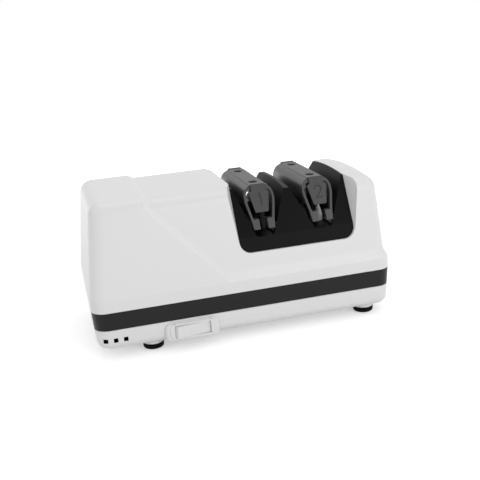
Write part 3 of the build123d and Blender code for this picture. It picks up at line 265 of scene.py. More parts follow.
class CaseValues(bpy.types.PropertyGroup):
    """Colours and surface of the white case and the stripe"""

    case_colour: FloatVectorProperty(
        name="Case colour", description="White of the moulded case", subtype="COLOR",
        size=4, min=0, max=1, default=(0.76, 0.76, 0.76, 1))
    stripe_colour: FloatVectorProperty(
        name="Stripe colour", description="Grey of the band round the skirt", subtype="COLOR",
        size=4, min=0, max=1, default=(0.013, 0.013, 0.0135, 1))
    grain: FloatProperty(
        name="Grain", description="Width of one grain of the moulded skin",
        unit="LENGTH", min=0.0001, default=0.0005)


class InsertValues(bpy.types.PropertyGroup):
    """Colours of the insert and the guides, and the numerals"""

    insert_colour: FloatVectorProperty(
        name="Insert colour", description="Black of the slot insert", subtype="COLOR",
        size=4, min=0, max=1, default=(0.0035, 0.0035, 0.0037, 1))
    guide_colour: FloatVectorProperty(
        name="Guide colour", description="Grey of the guide springs and strips", subtype="COLOR",
        size=4, min=0, max=1, default=(0.044, 0.044, 0.045, 1))
    numeral_height: FloatProperty(
        name="Numeral height", description="Height of the numeral on each keystone plate",
        unit="LENGTH", min=0.002, default=0.0095)
    numeral_drop: FloatProperty(
        name="Numeral drop",
        description="Middle of the numeral from the top of its plate, as a part of its length",
        min=0, max=1, default=0.55)
    stroke_width: FloatProperty(
        name="Stroke width", description="Width of a numeral's stroke",
        unit="LENGTH", min=0.0001, default=0.001)
    numeral_depth: FloatProperty(
        name="Numeral depth", description="How deep the numerals are sunk into their plates",
        unit="LENGTH", min=0.0001, default=0.0006)


class FastenerValues(bpy.types.PropertyGroup):
    """Small sizes of the screws"""

    recess_width: FloatProperty(
        name="Recess width", description="Width of each slot of the cross recess",
        unit="LENGTH", min=0.0001, default=0.0007)
    thread_pitch: FloatProperty(
        name="Thread pitch", description="Rise of the thread in one turn",
        unit="LENGTH", min=0.0003, default=0.001)
    thread_depth: FloatProperty(
        name="Thread depth", description="Height of the thread over the shank's core",
        unit="LENGTH", min=0.0001, default=0.00025)


class MechanismValues(bpy.types.PropertyGroup):
    """Springs, winding and abrasive inside the case"""

    spring_wire: FloatProperty(
        name="Spring wire", description="Thickness of the wire of the disc springs",
        unit="LENGTH", min=0.0002, default=0.0011)
    spring_turns: FloatProperty(
        name="Spring turns", description="Turns of each half of a disc spring", min=1, default=2.0)
    disc_travel: FloatProperty(
        name="Disc travel", description="How far a disc slides in under a blade",
        unit="LENGTH", min=0, default=0.0012)
    coil_wire: FloatProperty(
        name="Coil wire", description="Thickness of the enamelled wire of the motor",
        unit="LENGTH", min=0.0002, default=0.0009)
    coarse_grain: FloatProperty(
        name="Coarse grain", description="Size of a grain on the discs of the first stage",
        unit="LENGTH", min=0.00005, default=0.00022)
    fine_grain: FloatProperty(
        name="Fine grain", description="Size of a grain on the discs of the second stage",
        unit="LENGTH", min=0.00005, default=0.00015)
    grain_density: FloatProperty(
        name="Grain density", description="Grains on a square metre of abrasive",
        min=0, default=1500000.0)


class StageValues(bpy.types.PropertyGroup):
    """Lights and camera"""

    key_power: FloatProperty(
        name="Key light", description="Power of the large light over the front right",
        unit="POWER", min=0, default=3.0)
    fill_power: FloatProperty(
        name="Fill light", description="Power of the light at the left",
        unit="POWER", min=0, default=0.3)
    top_power: FloatProperty(
        name="Top light", description="Power of the soft box overhead",
        unit="POWER", min=0, default=1.2)
    lens: FloatProperty(
        name="Lens", description="Focal length of the camera in millimetres",
        min=10, default=58.92)


VALUE_GROUPS = {
    "sharpener_case": CaseValues,
    "sharpener_insert": InsertValues,
    "sharpener_fasteners": FastenerValues,
    "sharpener_mechanism": MechanismValues,
    "sharpener_stage": StageValues,
}


# ---- node tree helpers


def add_node(tree, kind, inputs=None, **settings):
    """A new node in tree with its settings, its input values and its incoming links."""
    made = tree.nodes.new(kind)
    for key, value in settings.items():
        setattr(made, key, value)
    for key, value in (inputs or {}).items():
        if isinstance(value, bpy.types.NodeSocket):
            tree.links.new(value, made.inputs[key])
        else:
            made.inputs[key].default_value = value
    return made


def calc(tree, operation, *terms):
    """What a maths node makes of its terms."""
    return add_node(tree, "ShaderNodeMath", dict(enumerate(terms)), operation=operation).outputs["Value"]


def vector_calc(tree, operation, *terms, **named):
    """What a vector maths node makes of its terms."""
    inputs = {**dict(enumerate(terms)), **named}
    return add_node(tree, "ShaderNodeVectorMath", inputs, operation=operation).outputs["Vector"]


def vector(tree, **axes):
    """A vector from its axes."""
    return add_node(tree, "ShaderNodeCombineXYZ", axes).outputs["Vector"]


def split(tree, value):
    """The axes of a vector."""
    return add_node(tree, "ShaderNodeSeparateXYZ", {"Vector": value}).outputs


def rescale(tree, value, present, wanted=(0.0, 1.0), clamp=True):
    """A value carried over from its present range to the wanted one."""
    return add_node(tree, "ShaderNodeMapRange", {
        "Value": value, "From Min": present[0], "From Max": present[1],
        "To Min": wanted[0], "To Max": wanted[1]}, clamp=clamp).outputs["Result"]


def noise(tree, place, scale, detail, roughness):
    """Noise over the given place."""
    return add_node(tree, "ShaderNodeTexNoise", {
        "Vector": place, "Scale": scale, "Detail": detail, "Roughness": roughness}).outputs["Fac"]


def object_place(tree):
    """Where a point is on its object."""
    return add_node(tree, "ShaderNodeTexCoord").outputs["Object"]


def new_group(name, kind, inputs, outputs):
    """A node group with named sockets, and the sockets of its input and output nodes."""
    tree = bpy.data.node_groups.new(name, kind)
    for label, socket, value in inputs:
        made = tree.interface.new_socket(label, in_out="INPUT", socket_type=socket)
        if value is not None:
            made.default_value = value
    for label, socket in outputs:
        tree.interface.new_socket(label, in_out="OUTPUT", socket_type=socket)
    return tree, add_node(tree, "NodeGroupInput").outputs, add_node(tree, "NodeGroupOutput").inputs


def geometry_tree(name, *inputs):
    """A geometry tree that takes a mesh, the named inputs and a material."""
    return new_group(
        name, "GeometryNodeTree",
        (("Geometry", GEOMETRY, None), *inputs, ("Material", MATERIAL, None)),
        (("Geometry", GEOMETRY),))


def close_tree(tree, given, out, geometry):
    """Ends a geometry tree: real meshes in the given material."""
    real = add_node(tree, "GeometryNodeRealizeInstances", {"Geometry": geometry})
    finished = add_node(tree, "GeometryNodeSetMaterial", {
        "Geometry": real.outputs["Geometry"], "Material": given["Material"]})
    tree.links.new(finished.outputs["Geometry"], out["Geometry"])
    return tree


def move(tree, geometry, **change):
    """Geometry after a Translation or a Rotation."""
    return add_node(tree, "GeometryNodeTransform", {"Geometry": geometry, **change}).outputs["Geometry"]


def helix(tree, steps, turns, radius, height):
    """A helix of one radius along Z."""
    return add_node(tree, "GeometryNodeCurveSpiral", {
        "Resolution": steps, "Rotations": turns, "Start Radius": radius, "End Radius": radius,
        "Height": height}).outputs["Curve"]


def bar_along(tree, line, sides, radius, capped=True):
    """A bar with a regular section along a line."""
    section = add_node(tree, "GeometryNodeCurvePrimitiveCircle", {"Resolution": sides, "Radius": radius})
    return add_node(tree, "GeometryNodeCurveToMesh", {
        "Curve": line, "Profile Curve": section.outputs["Curve"], "Fill Caps": capped}).outputs["Mesh"]


def put_on(tree, points, instance, **change):
    """A copy of the instance on each point, with a Rotation or a Scale."""
    return add_node(tree, "GeometryNodeInstanceOnPoints", {
        "Points": points, "Instance": instance, **change}).outputs["Instances"]


def join(tree, *pieces):
    """One geometry from several."""
    made = add_node(tree, "GeometryNodeJoinGeometry")
    for one in pieces:
        tree.links.new(one, made.inputs["Geometry"])
    return made.outputs["Geometry"]


# ---- mesh helpers


def add_object(name, data):
    """A new object in the scene."""
    made = bpy.data.objects.new(name, data)
    bpy.context.scene.collection.objects.link(made)
    return made


def settle(obj):
    """Turns what the modifiers show into the object's own mesh."""
    graph = bpy.context.evaluated_depsgraph_get()
    graph.update()
    mesh = bpy.data.meshes.new_from_object(obj.evaluated_get(graph))
    obj.modifiers.clear()
    obj.data = mesh
    if not mesh.polygons:
        raise RuntimeError(f"{obj.name} came out empty")


def grow(name, mesh, tree, values):
    """A plain mesh object made by a geometry tree from a starting mesh and named values."""
    made = add_object(name, mesh)
    modifier = made.modifiers.new(tree.name, "NODES")
    modifier.node_group = tree
    for item in tree.interface.items_tree:
        if item.item_type == "SOCKET" and item.in_out == "INPUT" and item.name in values:
            modifier[item.identifier] = values[item.name]
    settle(made)
    return made


def merged_shape(node):
    """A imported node's shape with its shared corners joined."""
    shape = bmesh.new()
    shape.from_mesh(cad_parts[node].data)
    bmesh.ops.remove_doubles(shape, verts=shape.verts, dist=MERGE_DISTANCE)
    return shape


def new_mesh(name, shape):
    """A mesh from an edited shape, which is used up."""
    mesh = bpy.data.meshes.new(name)
    shape.to_mesh(mesh)
    shape.free()
    return mesh


def closed_mesh(name, points, faces):
    """A closed mesh whose faces all look outwards."""
    mesh = bpy.data.meshes.new(name)
    mesh.from_pydata(points, [], faces)
    shape = bmesh.new()
    shape.from_mesh(mesh)
    bmesh.ops.recalc_face_normals(shape, faces=shape.faces)
    shape.to_mesh(mesh)
    shape.free()
    return mesh


def turned_points(x, y, base, section, steps):
    """Rings of points round an upright axis, one ring for each radius and height of a section."""
    points = []
    for radius, height in section:
        for step in range(steps):
            turn = math.tau * step / steps
            points.append(Vector((x + radius * math.cos(turn), y + radius * math.sin(turn), base + height)))
    return points


def ring_faces(lower, upper, steps):
    """Faces between two rings, which are given by the index of their first points."""
    faces = []
    for step in range(steps):
        after = (step + 1) % steps
        faces.append((lower + step, lower + after, upper + after, upper + step))
    return faces


def piece(obj, body, slot, *nodes):
    """Hangs a finished object on its body, in place of the nodes it stands for."""
    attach(obj, body)
    if nodes:
        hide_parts(*nodes)


def screw_places(node):
    """Seats of a node's screws at the corners of its box, in order."""
    radius, height = SCREW_ROWS[node]["packed"]
    low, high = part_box(node)
    seat = high.z - height if SCREW_ROWS[node]["heads_up"] else low.z + height
    sides = (round(low.x + radius, 5), round(high.x - radius, 5))
    ends = (round(low.y + radius, 5), round(high.y - radius, 5))
    return sorted({(x, y, seat) for x in sides for y in ends})


# ---- geometry trees


def fastener_tree():
    """Screws on points: cone head with a cross recess, shank and thread."""
    tree, given, out = geometry_tree(
        "Screw row",
        ("Head radius", FLOAT, 0.003),
        ("Head height", FLOAT, 0.002),
        ("Shank radius", FLOAT, 0.0015),
        ("Shank length", FLOAT, 0.01),
        ("Thread pitch", FLOAT, 0.001),
        ("Thread depth", FLOAT, 0.00025),
        ("Recess width", FLOAT, 0.0007),
        ("Turn", VECTOR, (0.0, 0.0, 0.0)))
    radius, high, length = given["Head radius"], given["Head height"], given["Shank length"]
    head = add_node(tree, "GeometryNodeMeshCone", {
        "Vertices": HEAD_SIDES, "Radius Top": calc(tree, "MULTIPLY", radius, HEAD_TAPER),
        "Radius Bottom": radius, "Depth": high}).outputs["Mesh"]
    across = calc(tree, "MULTIPLY", radius, RECESS_LENGTH)
    deep = calc(tree, "MULTIPLY", high, RECESS_DEPTH)
    lifted = vector(tree, Z=high)
    for x, y in ((across, given["Recess width"]), (given["Recess width"], across)):
        slot = add_node(tree, "GeometryNodeMeshCube", {"Size": vector(tree, X=x, Y=y, Z=deep)})
        placed = move(tree, slot.outputs["Mesh"], Translation=lifted)
        head = add_node(tree, "GeometryNodeMeshBoolean", {
            "Mesh 1": head, "Mesh 2": placed}, operation="DIFFERENCE").outputs["Mesh"]
    core = calc(tree, "SUBTRACT", given["Shank radius"], given["Thread depth"])
    shank = add_node(tree, "GeometryNodeMeshCylinder", {
        "Vertices": SHANK_SIDES, "Radius": core, "Depth": length}).outputs["Mesh"]
    lowered = move(tree, shank, Translation=vector(tree, Z=calc(tree, "MULTIPLY", length, -0.5)))
    turns = calc(tree, "DIVIDE", length, given["Thread pitch"])
    line = helix(tree, THREAD_STEPS, turns, core, calc(tree, "MULTIPLY", length, -1.0))
    thread = bar_along(tree, line, THREAD_SIDES, given["Thread depth"])
    screws = put_on(tree, given["Geometry"], join(tree, head, lowered, thread), Rotation=given["Turn"])
    return close_tree(tree, given, out, screws)


def spring_tree():
    """Round wire helix along X from a start point."""
    tree, given, out = geometry_tree(
        "Disc spring",
        ("Radius", FLOAT, 0.006),
        ("Wire", FLOAT, 0.0011),
        ("Turns", FLOAT, 3.0),
        ("Length", FLOAT, 0.01),
        ("Start", VECTOR, (0.0, 0.0, 0.0)))
    half = calc(tree, "MULTIPLY", given["Wire"], 0.5)
    middle = calc(tree, "SUBTRACT", given["Radius"], half)
    line = helix(tree, SPRING_STEPS, given["Turns"], middle, given["Length"])
    wire = bar_along(tree, line, SPRING_WIRE_SIDES, half)
    placed = move(tree, wire, Translation=given["Start"], Rotation=(0.0, math.pi / 2, 0.0))
    smooth = add_node(tree, "GeometryNodeSetShadeSmooth", {"Geometry": placed})
    return close_tree(tree, given, out, smooth.outputs["Geometry"])


def winding_tree():
    """Layers of wire wound round a leg that runs along Y."""
    tree, given, out = geometry_tree(
        "Motor winding",
        ("Width", FLOAT, 0.04),
        ("Height", FLOAT, 0.02),
        ("Length", FLOAT, 0.02),
        ("Wire", FLOAT, 0.0009),
        ("Corner", FLOAT, 0.002),
        ("Middle", VECTOR, (0.0, 0.0, 0.0)))
    wire = given["Wire"]
    half = calc(tree, "MULTIPLY", wire, 0.5)
    places = add_node(tree, "GeometryNodeMeshLine", {
        "Count": calc(tree, "FLOOR", calc(tree, "DIVIDE", given["Length"], wire)),
        "Start Location": vector(tree, Y=calc(tree, "MULTIPLY_ADD", given["Length"], -0.5, half)),
        "Offset": vector(tree, Y=wire)})
    layers = []
    for layer in range(WINDING_LAYERS):
        less = calc(tree, "MULTIPLY", wire, 1.0 + 2.0 * layer)
        box = add_node(tree, "GeometryNodeCurvePrimitiveQuadrilateral", {
            "Width": calc(tree, "SUBTRACT", given["Width"], less),
            "Height": calc(tree, "SUBTRACT", given["Height"], less)})
        bent = add_node(tree, "GeometryNodeFilletCurve", {
            "Curve": box.outputs["Curve"], "Radius": given["Corner"],
            "Count": WINDING_CORNER_STEPS}, mode="POLY")
        loop = bar_along(tree, bent.outputs["Curve"], WINDING_WIRE_SIDES, half, capped=False)
        upright = move(tree, loop, Rotation=(math.pi / 2, 0.0, 0.0))
        layers.append(put_on(tree, places.outputs["Mesh"], upright))
    return close_tree(tree, given, out, move(tree, join(tree, *layers), Translation=given["Middle"]))


def grit_tree():
    """Abrasive grains scattered over the given faces."""
    tree, given, out = geometry_tree(
        "Abrasive grit",
        ("Density", FLOAT, 1500000.0),
        ("Grain", FLOAT, 0.0002),
        ("Seed", INTEGER, 1))
    seed = given["Seed"]
    spots = add_node(tree, "GeometryNodeDistributePointsOnFaces", {
        "Mesh": given["Geometry"], "Density": given["Density"], "Seed": seed})
    grain = add_node(tree, "GeometryNodeMeshIcoSphere", {"Radius": given["Grain"], "Subdivisions": 1})
    spin = add_node(tree, "FunctionNodeRandomValue", {
        "Max": (math.tau, math.tau, math.tau), "Seed": seed}, data_type="FLOAT_VECTOR")
    size = add_node(tree, "FunctionNodeRandomValue", {
        "Min": GRAIN_LEAST, "Max": GRAIN_MOST, "Seed": seed}, data_type="FLOAT_VECTOR")
    scattered = put_on(
        tree, spots.outputs["Points"], grain.outputs["Mesh"],
        Rotation=spin.outputs["Value"], Scale=size.outputs["Value"])
    return close_tree(tree, given, out, scattered)


# ---- shader groups


def close_skin(tree, given, out, tone, gloss, height):
    """Ends a skin group: the colour scaled by a tone, the roughness and the bump's height."""
    shade = vector_calc(tree, "SCALE", given["Colour"], Scale=tone)
    for label, value in (("Colour", shade), ("Roughness", gloss), ("Height", height)):
        tree.links.new(value, out[label])


def skin_group(name):
    """Moulded skin: fine grain for the bump, slow drift of tone and gloss."""
    tree, given, out = new_group(
        name, "ShaderNodeTree",
        (("Colour", COLOUR, (0.5, 0.5, 0.5, 1)),
         ("Tone drift", FLOAT, 0.05),
         ("Grains per metre", FLOAT, 2000.0),
         ("Roughness", FLOAT, 0.4),
         ("Gloss drift", FLOAT, 0.05)),
        (("Colour", COLOUR), ("Roughness", FLOAT), ("Height", FLOAT)))
    place = object_place(tree)
    fine = noise(tree, place, scale=given["Grains per metre"], detail=3.0, roughness=0.6)
    slow = noise(tree, place, scale=14.0, detail=1.0, roughness=0.5)
    even = rescale(tree, slow, (0.25, 0.75), (-1.0, 1.0), clamp=False)
    speck = rescale(tree, fine, (0.3, 0.7), (-0.5, 0.5), clamp=False)
    tone = calc(tree, "MULTIPLY_ADD", calc(tree, "ADD", even, speck), given["Tone drift"], 1.0)
    gloss = calc(tree, "MULTIPLY_ADD", even, given["Gloss drift"], given["Roughness"])
    close_skin(tree, given, out, tone, gloss, fine)


def brushed_group(name):
    """Turned or drawn metal: lines that run along one direction."""
    tree, given, out = new_group(
        name, "ShaderNodeTree",
        (("Colour", COLOUR, (0.5, 0.5, 0.5, 1)),
         ("Stretch", VECTOR, (3000.0, 200.0, 200.0)),
         ("Roughness", FLOAT, 0.3),
         ("Drift", FLOAT, 0.1)),
        (("Colour", COLOUR), ("Roughness", FLOAT), ("Height", FLOAT)))
    pulled = vector_calc(tree, "MULTIPLY", object_place(tree), given["Stretch"])
    lines = noise(tree, pulled, scale=1.0, detail=3.0, roughness=0.6)
    even = rescale(tree, lines, (0.3, 0.7), (-1.0, 1.0))
    tone = calc(tree, "MULTIPLY_ADD", even, given["Drift"], 1.0)
    gloss = calc(tree, "MULTIPLY_ADD", even, given["Drift"], given["Roughness"])
    close_skin(tree, given, out, tone, gloss, lines)


def dust_group(name):
    """Settled dust: more on faces that look up, broken by a noise."""
    tree, given, out = new_group(name, "ShaderNodeTree", (("Amount", FLOAT, 0.1),), (("Mask", FLOAT),))
    normal = add_node(tree, "ShaderNodeNewGeometry").outputs["Normal"]
    level = rescale(tree, split(tree, normal)["Z"], (0.2, 1.0))
    broken = noise(tree, object_place(tree), scale=420.0, detail=6.0, roughness=0.7)
    settled = calc(tree, "MULTIPLY", level, rescale(tree, broken, (0.45, 0.75)))
    tree.links.new(calc(tree, "MULTIPLY", settled, given["Amount"]), out["Mask"])


def room_group(name):
    """One inside a box, nought outside."""
    tree, given, out = new_group(
        name, "ShaderNodeTree",
        (("Middle", VECTOR, (0.0, 0.0, 0.0)), ("Half size", VECTOR, (1.0, 1.0, 1.0))),
        (("Mask", FLOAT),))
    away = vector_calc(tree, "ABSOLUTE", vector_calc(tree, "SUBTRACT", object_place(tree), given["Middle"]))
    beyond = split(tree, vector_calc(tree, "SUBTRACT", away, given["Half size"]))
    widest = calc(tree, "MAXIMUM", calc(tree, "MAXIMUM", beyond["X"], beyond["Y"]), beyond["Z"])
    tree.links.new(calc(tree, "LESS_THAN", widest, 0.0), out["Mask"])


# ---- materials


def cleared(data):
    """The emptied node tree of a material or a world."""
    data.use_nodes = True
    data.node_tree.nodes.clear()
    return data.node_tree


def add_group(tree, name, build, inputs):
    """A shader group with its own values in a material. The group is built when it is first asked for."""
    if name not in bpy.data.node_groups:
        build(name)
    return add_node(tree, "ShaderNodeGroup", inputs, node_tree=bpy.data.node_groups[name])


def cover(tree, shader, mask, colour):
    """Lays a colour over the shader's own as far as the mask says."""
    own = shader.inputs["Base Color"].links[0].from_socket
    over = add_node(tree, "ShaderNodeMix", {"Factor": mask, "A": own, "B": colour}, data_type="RGBA")
    tree.links.new(over.outputs["Result"], shader.inputs["Base Color"])


def skinned(name, group, build, depth, inputs):
    """A material whose colour, gloss and bump come from a skin group, and its surface shader."""
    tree = cleared(bpy.data.materials.new(name))
    skin = add_group(tree, group, build, inputs).outputs
    bump = add_node(tree, "ShaderNodeBump", {"Height": skin["Height"], "Distance": depth, "Strength": 1.0})
    shader = add_node(tree, "ShaderNodeBsdfPrincipled", {
        "Base Color": skin["Colour"], "Roughness": skin["Roughness"], "Normal": bump.outputs["Normal"]})
    add_node(tree, "ShaderNodeOutputMaterial", {"Surface": shader.outputs["BSDF"]})
    return tree, shader


def plastic(name, colour, roughness, grain, depth, drift=0.03, dust=0.0, specular=0.5, coat=0.0):
    """Moulded plastic or rubber."""
    tree, shader = skinned(name, "Moulded skin", skin_group, depth, {
        "Colour": colour, "Tone drift": drift, "Grains per metre": 1 / grain, "Roughness": roughness,
        "Gloss drift": roughness * GLOSS_DRIFT})
    shader.inputs["Specular IOR Level"].default_value = specular
    shader.inputs["Coat Weight"].default_value = coat
    if dust:
        settled = add_group(tree, "Settled dust", dust_group, {"Amount": dust})
        cover(tree, shader, settled.outputs["Mask"], DUST_COLOUR)


def metal(name, colour, roughness, stretch, depth, drift=0.08):
    """Drawn, ground or plated metal."""
    shader = skinned(name, "Machined lines", brushed_group, depth, {
        "Colour": colour, "Stretch": stretch, "Roughness": roughness, "Drift": drift})[1]
    shader.inputs["Metallic"].default_value = 1.0


def material(name):
    """The material of that name, made before."""
    return bpy.data.materials[name]


def paint_shade_inside(finish, rooms):
    """Paints shade into a finish: turns its colour black inside each room, which is given as its middle and
    half its size.
    """
    tree = material(finish).node_tree
    shader = next(node for node in tree.nodes if node.type == "BSDF_PRINCIPLED")
    for middle, half in rooms:
        inside = add_group(tree, "Inside a room", room_group, {"Middle": middle, "Half size": half})
        # Painted shade: black laid over the colour inside the room
        cover(tree, shader, inside.outputs["Mask"], PAINTED_SHADE_BLACK)


def paint(obj, finish):
    """Gives an object one finish."""
    obj.data.materials.clear()
    obj.data.materials.append(material(finish))


# ---- operators


class SHARPENER_OT_finishes(bpy.types.Operator):
    """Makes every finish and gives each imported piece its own"""

    bl_idname = "sharpener.finishes"
    bl_label = "Make finishes"

    def execute(self, context):
        case = context.scene.sharpener_case
        insert = context.scene.sharpener_insert
        for name, skin in WHITE_SKINS.items():
            plastic(name, case.case_colour, grain=case.grain, **skin)
        for name, skin in GUIDE_SKINS.items():
            plastic(name, insert.guide_colour, **skin)
        plastic("dark stripe", case.stripe_colour, **STRIPE_SKIN)
        plastic("black insert", insert.insert_colour, **INSERT_SKIN)
        for name, skin in PLASTICS.items():
            plastic(name, **skin)
        for name, skin in METALS.items():
            metal(name, **skin)
        # Painted shade: the white bezel and tray are painted black in their wells, vents and inside
        paint_shade_inside("white bezel", self.rocker_wells())
        paint_shade_inside("white tray", self.tray_rooms())
        for finish, nodes in FINISHED_NODES.items():
            for node in nodes:
                paint(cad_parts[node], finish)
        return {"FINISHED"}

    def rocker_wells(self):
        """The wells behind both ends of the rocker, which are given painted shade."""
        low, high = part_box("rocker")
        return [((end, WELL_MIDDLE, (low.z + high.z) / 2), WELL_HALF) for end in (low.x, high.x)]

    def tray_rooms(self):
        """The inside of the tray and each air vent that opens into it, which are given painted shade."""
        rooms = [TRAY_ROOM]
        for x in CROSS_VENTS:
            rooms.append(((x, 0.0, VENT_HEIGHT), (VENT_HALF, CROSS_VENT_REACH, VENT_HALF)))
        for index in range(END_VENT_COUNT):
            y = (index - (END_VENT_COUNT - 1) / 2) * END_VENT_PITCH
            rooms.append(((END_WALL, y, VENT_HEIGHT), (END_VENT_REACH, VENT_HALF, VENT_HALF)))
        return rooms


class SHARPENER_OT_numerals(bpy.types.Operator):
    """Sinks the stage's number into the front plate of each guide strip, and the holes over its screws"""

    bl_idname = "sharpener.numerals"
    bl_label = "Engrave stage numbers"

    def execute(self, context):
        values = context.scene.sharpener_insert
        for digit, line in NUMERALS.items():
            node = f"guide_strip_{digit}"
            shape = merged_shape(node)
            bmesh.ops.dissolve_limit(
                shape, angle_limit=FLAT_ANGLE, verts=shape.verts, edges=shape.edges)
            strip = add_object(f"strip_{digit}", new_mesh(node + "_copy", shape))
            cutter = self.cutter(line, strip.data, values)
            sunk = strip.modifiers.new("numeral", "BOOLEAN")
            sunk.operation = "DIFFERENCE"
            sunk.solver = "EXACT"
            sunk.object = cutter
            settle(strip)
            bpy.data.objects.remove(cutter)
            paint(strip, "grey strip")
            piece(strip, "body", "guide_top", node)
        return {"FINISHED"}

    def cutter(self, line, mesh, values):
        """The digit's stroke as a thin solid that dips into the plate, with the holes over the screws."""
        normal, up, middle = self.plate(mesh, values.numeral_drop)
        left, right = self.edges(line, values.stroke_width / values.numeral_height / 2)
        outline = [
            middle + (ACROSS * spot.x + up * spot.y) * values.numeral_height
            for spot in left + right[::-1]]
        count = len(outline)
        sink = normal * values.numeral_depth
        points = [corner + sink for corner in outline] + [corner - sink for corner in outline]
        faces = []
        for index in range(count // 2 - 1):
            opposite = count - 1 - index
            above = (index, index + 1, opposite - 1, opposite)
            faces.append(above)
            faces.append(tuple(count + corner for corner in reversed(above)))
        faces += ring_faces(count, 0, count)
        self.add_holes(points, faces, middle.x)
        return add_object("numeral_cutter", closed_mesh("numeral", points, faces))

    def plate(self, mesh, drop):
        """A strip's front plate: its normal, the direction up along it and the middle of the numeral."""
        fronts = [face for face in mesh.polygons if face.normal.y < LEANS_FORWARD]
        plate = max(fronts, key=lambda face: face.area)
        normal = plate.normal.copy()
        same = [face for face in mesh.polygons if face.normal.dot(normal) > SAME_WAY]
        corners = [mesh.vertices[index].co for face in same for index in face.vertices]
        up = normal.cross(ACROSS)
        heights = [corner.dot(up) for corner in corners]
        sides = [corner.x for corner in corners]
        level = max(heights) - drop * (max(heights) - min(heights))
        middle = plate.center + up * (level - plate.center.dot(up))
        middle.x = (min(sides) + max(sides)) / 2
        return normal, up, middle

    def edges(self, line, half_width):
        """The points of both edges of a stroke along a line."""
        points = [Vector(point) for point in line]
        left = []
        right = []
        for index, point in enumerate(points):
            before = point - points[index - 1] if index else points[1] - point
            after = points[index + 1] - point if index + 1 < len(points) else before
            normals = [Vector((-run.y, run.x)).normalized() for run in (before, after)]
            outward = (normals[0] + normals[1]).normalized()
            reach = half_width / max(outward.dot(normals[0]), 1 / MITRE_LIMIT)
            left.append(point + outward * reach)
            right.append(point - outward * reach)
        return left, right

    def add_holes(self, points, faces, middle):
        """Adds the sunk holes over the screws of the strip that lies along the line x = middle."""
        for x, y, seat in screw_places("guide_screws"):
            if abs(x - middle) > SCREW_ROWS["guide_screws"]["packed"][0]:
                continue
            first = len(points)
            points += turned_points(x, y, seat, HOLE_SECTION, HOLE_STEPS)
            last = len(points) - HOLE_STEPS
            for row in range(first, last, HOLE_STEPS):
                faces += ring_faces(row, row + HOLE_STEPS, HOLE_STEPS)
            faces.append(tuple(reversed(range(first, first + HOLE_STEPS))))
            faces.append(tuple(range(last, last + HOLE_STEPS)))


class SHARPENER_OT_feet(bpy.types.Operator):
    """Turns the rubber cups that the sharpener stands on"""

    bl_idname = "sharpener.feet"
    bl_label = "Make rubber feet"

    def execute(self, context):
        rings = [ring * FOOT_STEPS for ring in range(len(FOOT_SECTION))]
        faces = []
        for ring, after in zip(rings, rings[1:] + rings[:1]):
            faces += ring_faces(ring, after, FOOT_STEPS)
        for node in FEET:
            low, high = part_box(node)
            middle = (low + high) / 2
            points = turned_points(middle.x, middle.y, 0.0, FOOT_SECTION, FOOT_STEPS)
            mesh = closed_mesh(node + "_cup", points, faces)
            mesh.shade_smooth()
            mesh.set_sharp_from_angle(angle=FOOT_SHARP_ANGLE)
            cup = add_object(node + "_cup", mesh)
            paint(cup, "foot rubber")
            piece(cup, "body", "rubber", node)
        return {"FINISHED"}


class SHARPENER_OT_screws(bpy.types.Operator):
    """Makes the screws with their cross recess and thread"""

    bl_idname = "sharpener.screws"
    bl_label = "Make screws"

    def execute(self, context):
        values = context.scene.sharpener_fasteners
        tree = fastener_tree()
        for node, row in SCREW_ROWS.items():
            low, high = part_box(node)
            places = bpy.data.meshes.new(node + "_places")
            places.from_pydata(screw_places(node), [], [])
            radius, height = row.get("head", row["packed"])
            made = grow(node + "_row", places, tree, {
                "Head radius": radius, "Head height": height, "Shank radius": row["shank"],
                "Shank length": high.z - low.z - row["packed"][1], "Thread pitch": values.thread_pitch,
                "Thread depth": values.thread_depth, "Recess width": values.recess_width,
                "Turn": (0.0 if row["heads_up"] else math.pi, 0.0, RECESS_TURN),
                "Material": material(row["finish"])})
            piece(made, "body", "screw", node)
        return {"FINISHED"}


class SHARPENER_OT_springs(bpy.types.Operator):
    """Makes the coil springs that press the discs apart"""

    bl_idname = "sharpener.springs"
    bl_label = "Make disc springs"

    def execute(self, context):
        values = context.scene.sharpener_mechanism
        tree = spring_tree()
        for number in (1, 2):
            node = f"disc_spring_{number}"
            low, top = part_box(node)
            middle = (low + top) / 2
            wire = values.spring_wire
            half = middle.x - low.x - wire / 2
            for side, start in (("left", low.x + wire / 2), ("right", middle.x)):
                made = grow(f"coil_spring_{number}_{side}", bpy.data.meshes.new("start"), tree, {
                    "Radius": (top.z - low.z) / 2, "Wire": wire, "Turns": values.spring_turns,
                    "Length": half, "Start": (start, middle.y, middle.z),
                    "Material": material("spring steel")})
                piece(made, "spindle", "spring", node)
                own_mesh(made)
        return {"FINISHED"}


class SHARPENER_OT_winding(bpy.types.Operator):
    """Winds the motor's coil"""

    bl_idname = "sharpener.winding"
    bl_label = "Wind motor coil"

    def execute(self, context):
        values = context.scene.sharpener_mechanism
        low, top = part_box("motor_coil")
        size = top - low
        made = grow("coil_winding", bpy.data.meshes.new("start"), winding_tree(), {
            "Width": size.x, "Height": size.z, "Length": size.y, "Wire": values.coil_wire,
            "Middle": tuple((low + top) / 2), "Material": material("copper winding")})
        piece(made, "body", "winding", "motor_coil")
        return {"FINISHED"}


